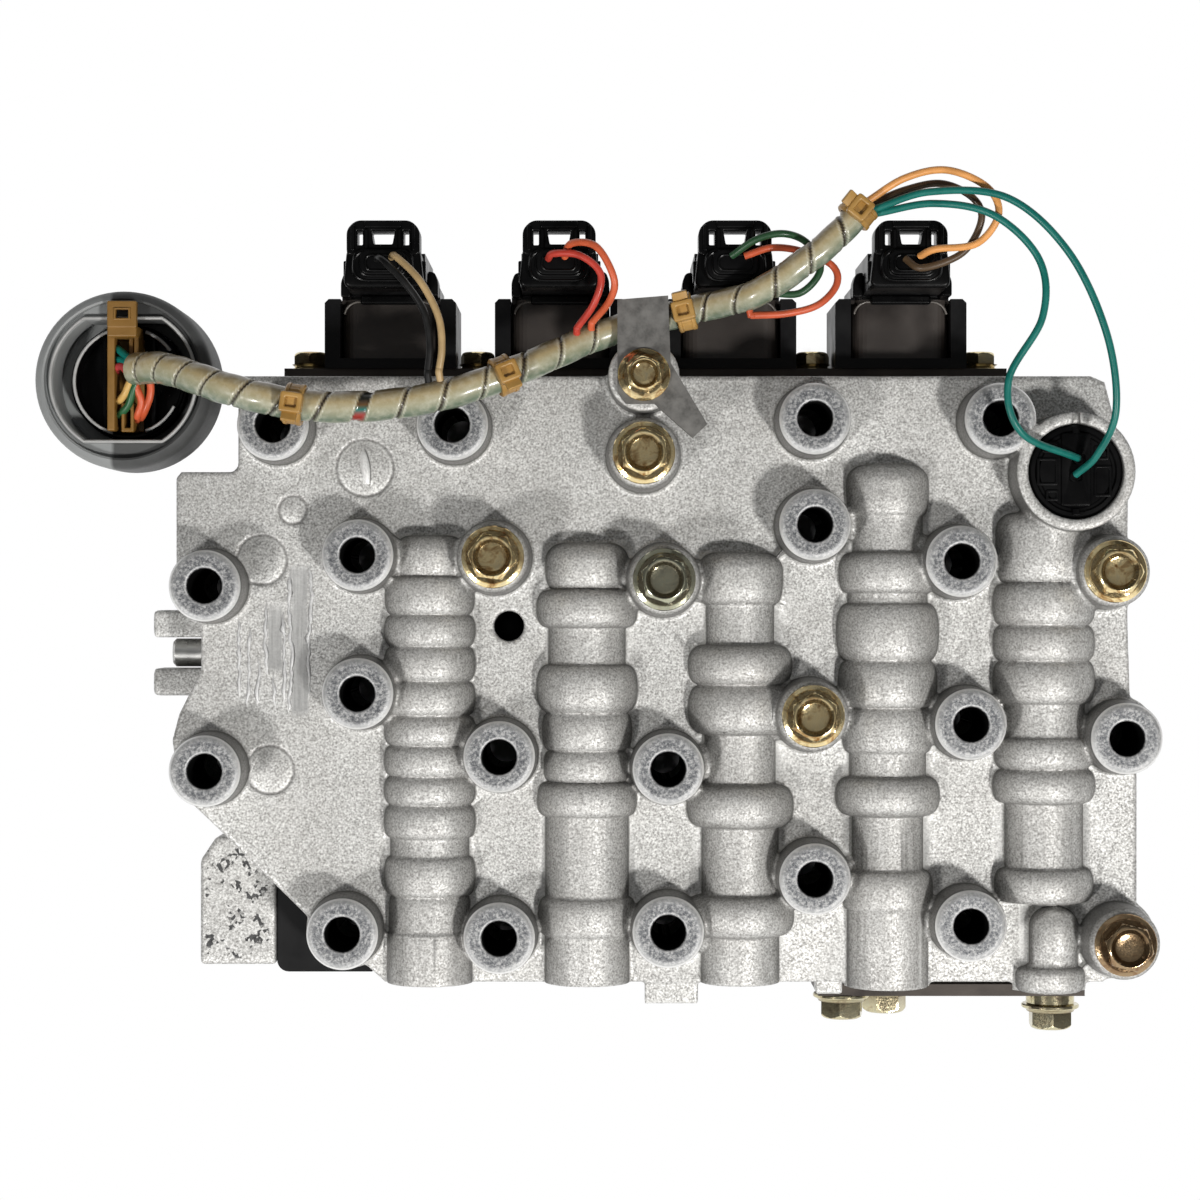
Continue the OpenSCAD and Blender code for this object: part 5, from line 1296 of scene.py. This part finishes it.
def plugBody(kit, at, spec):
    half, (y0, y1), (z0, z1) = spec["plugHalf"], spec["plugY"], spec["plugZ"]
    kit.plate([rect(-7.8, 7.8, 20.4, 25.8, 0.8)], 9.2, z0 + 1, 0.3, at)
    base = [(-half - 1, y0), (half + 1, y0), (half, y1 + 0.4), (-half, y1 + 0.4)]
    kit.plate([rounded(base, 2.2)], z0, z1 - 3.2, 0.8, at)
    step = [(-half + 1.2, y0 + 1.4), (half - 1.2, y0 + 1.4), (half - 1.6, y1 - 0.2), (-half + 1.6, y1 - 0.2)]
    kit.plate([rounded(step, 3.2)], z1 - 4, z1 - 0.9, 0.7, at)
    kit.plate([rect(-half + 3.4, half - 3.4, y0 + 2.8, y1 - 0.8, 2.4)], z1 - 2, z1 - 0.1, 0.4, at)


def plugLatch(kit, at, spec):
    # latch frame with its three windows, a grip across its end and rails along it
    half, (y0, y1), reach, (low, high) = spec["plugHalf"], spec["plugY"], spec["reach"], spec["latch"]
    outline = rounded([(-half, y1 - 2), (half, y1 - 2), (half, reach - 2.2), (half - 2.2, reach),
                       (-half + 2.2, reach), (-half, reach - 2.2)], 1.4)
    windows = [rect(s * 5.7 - 0.7, s * 5.7 + 0.7, y1 + 0.5, reach - 2.6, 0.3) for s in (-1, 1)]
    windows.append(rounded([(-2.3, y1 + 0.7), (2.3, y1 + 0.7), (2.9, reach - 2.6), (-2.9, reach - 2.6)], 0.4))
    kit.plate([outline] + windows, low, high, 0.45, at)
    kit.plate([rect(-4.6, 4.6, reach - 2.0, reach - 0.2, 0.5)], high - 1, high + 0.9, 0.35, at)
    for s in (-1, 1):
        kit.plate([rect(s * 7.4 - 0.5, s * 7.4 + 0.5, y1 - 1, reach - 1.2, 0.4)], high - 1, high + 0.8, 0.3, at)
        kit.plate([rect(s * 4.1 - 0.5, s * 4.1 + 0.5, y1 - 1.5, reach - 2.2, 0.3)], high - 1, high + 0.7, 0.3, at)
        kit.plate([rect(s * 9.6 - 0.6, s * 9.6 + 0.6, y0 + 2, y0 + 7, 0.4)], 27, 33, 0.3, at)


def makePlug(number, spec):
    x = solenoidPitch["firstX"] + (number - 1) * solenoidPitch["pitch"]
    at = Matrix.Translation((x, stack["solenoidFace"], stack["solenoidAxis"]))
    (y0, y1), top = spec["plugY"], spec["plugZ"][1]
    kit = Kit()
    plugBody(kit, at, spec)
    plugLatch(kit, at, spec)
    for grow, drop in spec["ribs"]:                 # seal ribs round the wire entry
        ring = rect(-4.2 - grow, 4.2 + grow, y0 + 3.8 - grow * 0.8, y1 - 2.2 + grow * 0.35, 2.6 + grow * 0.5, 6)
        kit.tube([(*p, top + drop) for p in ring], spec["ribThick"], 8, at, ring=True)
    kit.piece("solenoidPlug%d" % number, "plug", "black_plug", ["solenoid_%d_plug" % number], sharp=35)

    kit = Kit()                                     # neck mouldings beside the plug
    for s, high in ((-1, 16.5), (1, 19)):
        ear = [(s * 9.8, 17.7), (s * 12.4, 17.7), (s * 12.4, 21.6), (s * 11.6, 23.8), (s * 9.8, 24.2)][::s]
        kit.plate([rounded(ear, 0.8)], 9.0, high, 0.5, at)
    kit.plate([rect(-7.6, 7.6, 16.2, 18.6, 0.8)], 9, 14.6, 0.6, at)
    kit.piece("solenoidNeck%d" % number, "plug", "black_plug", sharp=35)

    kit = Kit()                                     # lips along the winding's upper corners, painted pale as a highlight
    for s in (-1, 1):
        path = [(s * 3.8, 17.0)] + arc(s * 8.0, 13.2, 3.8, 90, 90 - s * 80, 14)
        kit.tube([(*p, 12.45) for p in path], 0.28, 8, at)
    kit.piece("windingHighlightLip%d" % number, "paintedWindingHighlight", "coil_resin", sharp=None)


for number in range(1, solenoids["count"] + 1):
    makePlug(number, solenoids)
print("solenoids made")

# temperature sensor, a black moulded disc with framed pads (x, x, y, y), end lugs and two wire seals
sensor = {"at": (103, 51.5), "radius": 11.5, "foot": 40.5, "face": 53.5,
          "bar": [(-3.6, 3.6, -8.4, 9.4, 0.7), (-1.6, 1.4, -2.2, -0.1, 0.6), (-0.8, 2.2, 2.0, 4.2, 0.6)],
          "pads": [(-9.6, -4.4, -3.4, 3.4), (4.4, 8.8, -6.2, 1.6), (-8.2, -4.2, 4.6, 7.4), (4.4, 8.2, 2.8, 6.4),
                   (-7.4, -4.2, -7.2, -4.4)],
          "frame": 0.7, "lugs": (9.9, -9.9), "lugHalf": 0.9, "seals": [(-0.4, -1.1), (0.7, 3.1)]}


def makeSensor(spec):
    at = Matrix.Translation((*spec["at"], 0))
    r, foot, top, rim, lug = spec["radius"], spec["foot"], spec["face"], spec["frame"], spec["lugHalf"]
    kit = Kit()
    kit.lathe([(r - 0.4, foot), (r, foot + 0.4), (r, top - 0.6), (r - 0.5, top - 0.05), (r - 1.4, top),
               (r - 1.8, top - 0.5), (r - 2.4, top - 0.5), (r - 2.7, top - 0.05), (0.01, top - 0.05)], at, 96)
    kit.plate([rect(*sides) for sides in spec["bar"]], top - 0.4, top + 0.5, 0.2, at)
    for x0, x1, y0, y1 in spec["pads"]:
        window = rect(x0 + rim, x1 - rim, y0 + rim, y1 - rim, 0.4)
        kit.plate([rect(x0, x1, y0, y1, 0.6), window], top - 0.4, top + 0.25, 0.15, at)
    for y in spec["lugs"]:
        kit.plate([rect(-lug, lug, y - lug, y + lug, 0.3)], top - 0.4, top + 0.35, 0.2, at)
    for x, y in spec["seals"]:
        kit.lathe([(1.3, top - 1), (1.3, top + 0.7), (1.1, top + 0.9), (0.95, top + 0.7)],
                  at @ Matrix.Translation((x, y, 0)), 24)
    kit.piece("temperatureSensor", "plug", "black_moulding", ["temperature_sensor"], sharp=32)


makeSensor(sensor)
print("sensor made")

# lamps low on the near side, left and right; cards are dark flags that only reflections see
lamps = [
    {"name": "rightLamp", "at": (0.48, -0.48, 1.05), "size": 0.12, "power": 10.6, "color": (1.0, 0.985, 0.96)},
    {"name": "leftLamp", "at": (-0.63, -0.50, 0.96), "size": 0.14, "power": 6.2, "color": (1.0, 0.985, 0.965)},
    {"name": "fillLamp", "at": (-0.2, 0.9, 1.1), "size": 1.0, "power": 0.5, "color": (0.97, 0.985, 1.0)},
]
cards = [
    {"name": "overheadFlag", "at": (0, 0.25, 1.5), "size": (3.4, 2.6), "shade": 0.2},
    {"name": "farFlag", "at": (0, 1.3, 0.6), "size": (3.4, 1.5), "shade": 0.04},
    {"name": "rightFlag", "at": (1.5, 0.1, 0.6), "size": (2.0, 1.3), "shade": 0.08},
    {"name": "leftFlag", "at": (-1.5, 0.1, 0.6), "size": (2.0, 1.3), "shade": 0.08},
]
studioLight = {"ambient": 0.16, "floor": 0.86, "floorHalf": 3.0, "floorDrop": 0.0003, "shadowReach": 0.025,
               "shadowRays": 32, "shadowEdge": (0.07, 0.14), "lampAim": (0, 0, 0.03), "cardAim": (0, 0, 0.05)}


def turnTo(obj, aim):
    obj.rotation_mode = "QUATERNION"
    obj.rotation_quaternion = (Vector(aim) - obj.location).to_track_quat("-Z", "Y")


def seenDirectly(tree):
    # 1 for rays from the camera, and for what metal and glass show
    ray = tree.nodes.new("ShaderNodeLightPath")
    out = ray.outputs["Is Camera Ray"]
    for name in ("Is Glossy Ray", "Is Transmission Ray"):
        most = tree.nodes.new("ShaderNodeMath")
        most.operation = "MAXIMUM"
        tree.links.new(out, most.inputs[0])
        tree.links.new(ray.outputs[name], most.inputs[1])
        out = most.outputs[0]
    return out


def panel(name, wide, deep, at, mat):
    # a flat rectangle that isn't part of the object
    mesh = bpy.data.meshes.new(name)
    mesh.from_pydata([(-wide, -deep, 0), (wide, -deep, 0), (wide, deep, 0), (-wide, deep, 0)], [], [(0, 1, 2, 3)])
    mesh.materials.append(mat)
    obj = bpy.data.objects.new(name, mesh)
    obj.location = at
    scene.collection.objects.link(obj)
    return obj


def makeFloor(spec):
    s = Sheet("paleFloor")
    tone = spec["floor"]
    s.set(Base_Color=(tone, tone, tone, 1), Roughness=0.9, Specular_IOR_Level=0.1)
    # white where it is open, left in shadow inside holes and close under the part
    clear = s.add("ShaderNodeAmbientOcclusion", samples=spec["shadowRays"])
    clear.inputs["Distance"].default_value = spec["shadowReach"]
    white = s.add("ShaderNodeEmission")
    blend = s.add("ShaderNodeMixShader")
    s.link(s.times(seenDirectly(s.tree), s.span(clear.outputs["AO"], *spec["shadowEdge"])), blend.inputs[0])
    s.link(s.skin.outputs[0], blend.inputs[1])
    s.link(white.outputs[0], blend.inputs[2])
    s.link(blend.outputs[0], s.out.inputs["Surface"])
    panel("paleFloor", spec["floorHalf"], spec["floorHalf"], (0, 0, -spec["floorDrop"]), s.mat)


def makeWorld(spec):
    world = bpy.data.worlds.new("studio")
    scene.world = world
    world.use_nodes = True
    tree = world.node_tree
    tree.nodes.clear()
    out = tree.nodes.new("ShaderNodeOutputWorld")
    blend = tree.nodes.new("ShaderNodeMixShader")
    tree.links.new(seenDirectly(tree), blend.inputs[0])
    for socket, strength in ((1, spec["ambient"]), (2, 1.0)):
        sky = tree.nodes.new("ShaderNodeBackground")
        sky.inputs["Color"].default_value = (1, 1, 1, 1)
        sky.inputs["Strength"].default_value = strength
        tree.links.new(sky.outputs[0], blend.inputs[socket])
    tree.links.new(blend.outputs[0], out.inputs["Surface"])


def hangLamp(lamp, aim):
    data = bpy.data.lights.new(lamp["name"], "AREA")
    data.shape = "DISK"
    data.size = lamp["size"]
    data.energy = lamp["power"]
    data.color = lamp["color"]
    obj = bpy.data.objects.new(lamp["name"], data)
    obj.location = lamp["at"]
    turnTo(obj, aim)
    scene.collection.objects.link(obj)


def hangCard(card, aim):
    flag = Sheet(card["name"])
    dim = flag.add("ShaderNodeEmission")
    dim.inputs["Strength"].default_value = card["shade"]
    flag.link(dim.outputs[0], flag.out.inputs["Surface"])
    obj = panel(card["name"], card["size"][0] / 2, card["size"][1] / 2, card["at"], flag.mat)
    turnTo(obj, aim)
    for kind in ("camera", "diffuse", "transmission", "volume_scatter", "shadow"):
        setattr(obj, "visible_" + kind, False)


makeFloor(studioLight)
makeWorld(studioLight)
for lamp in lamps:
    hangLamp(lamp, studioLight["lampAim"])
for card in cards:
    hangCard(card, studioLight["cardAim"])
print("studio ready")
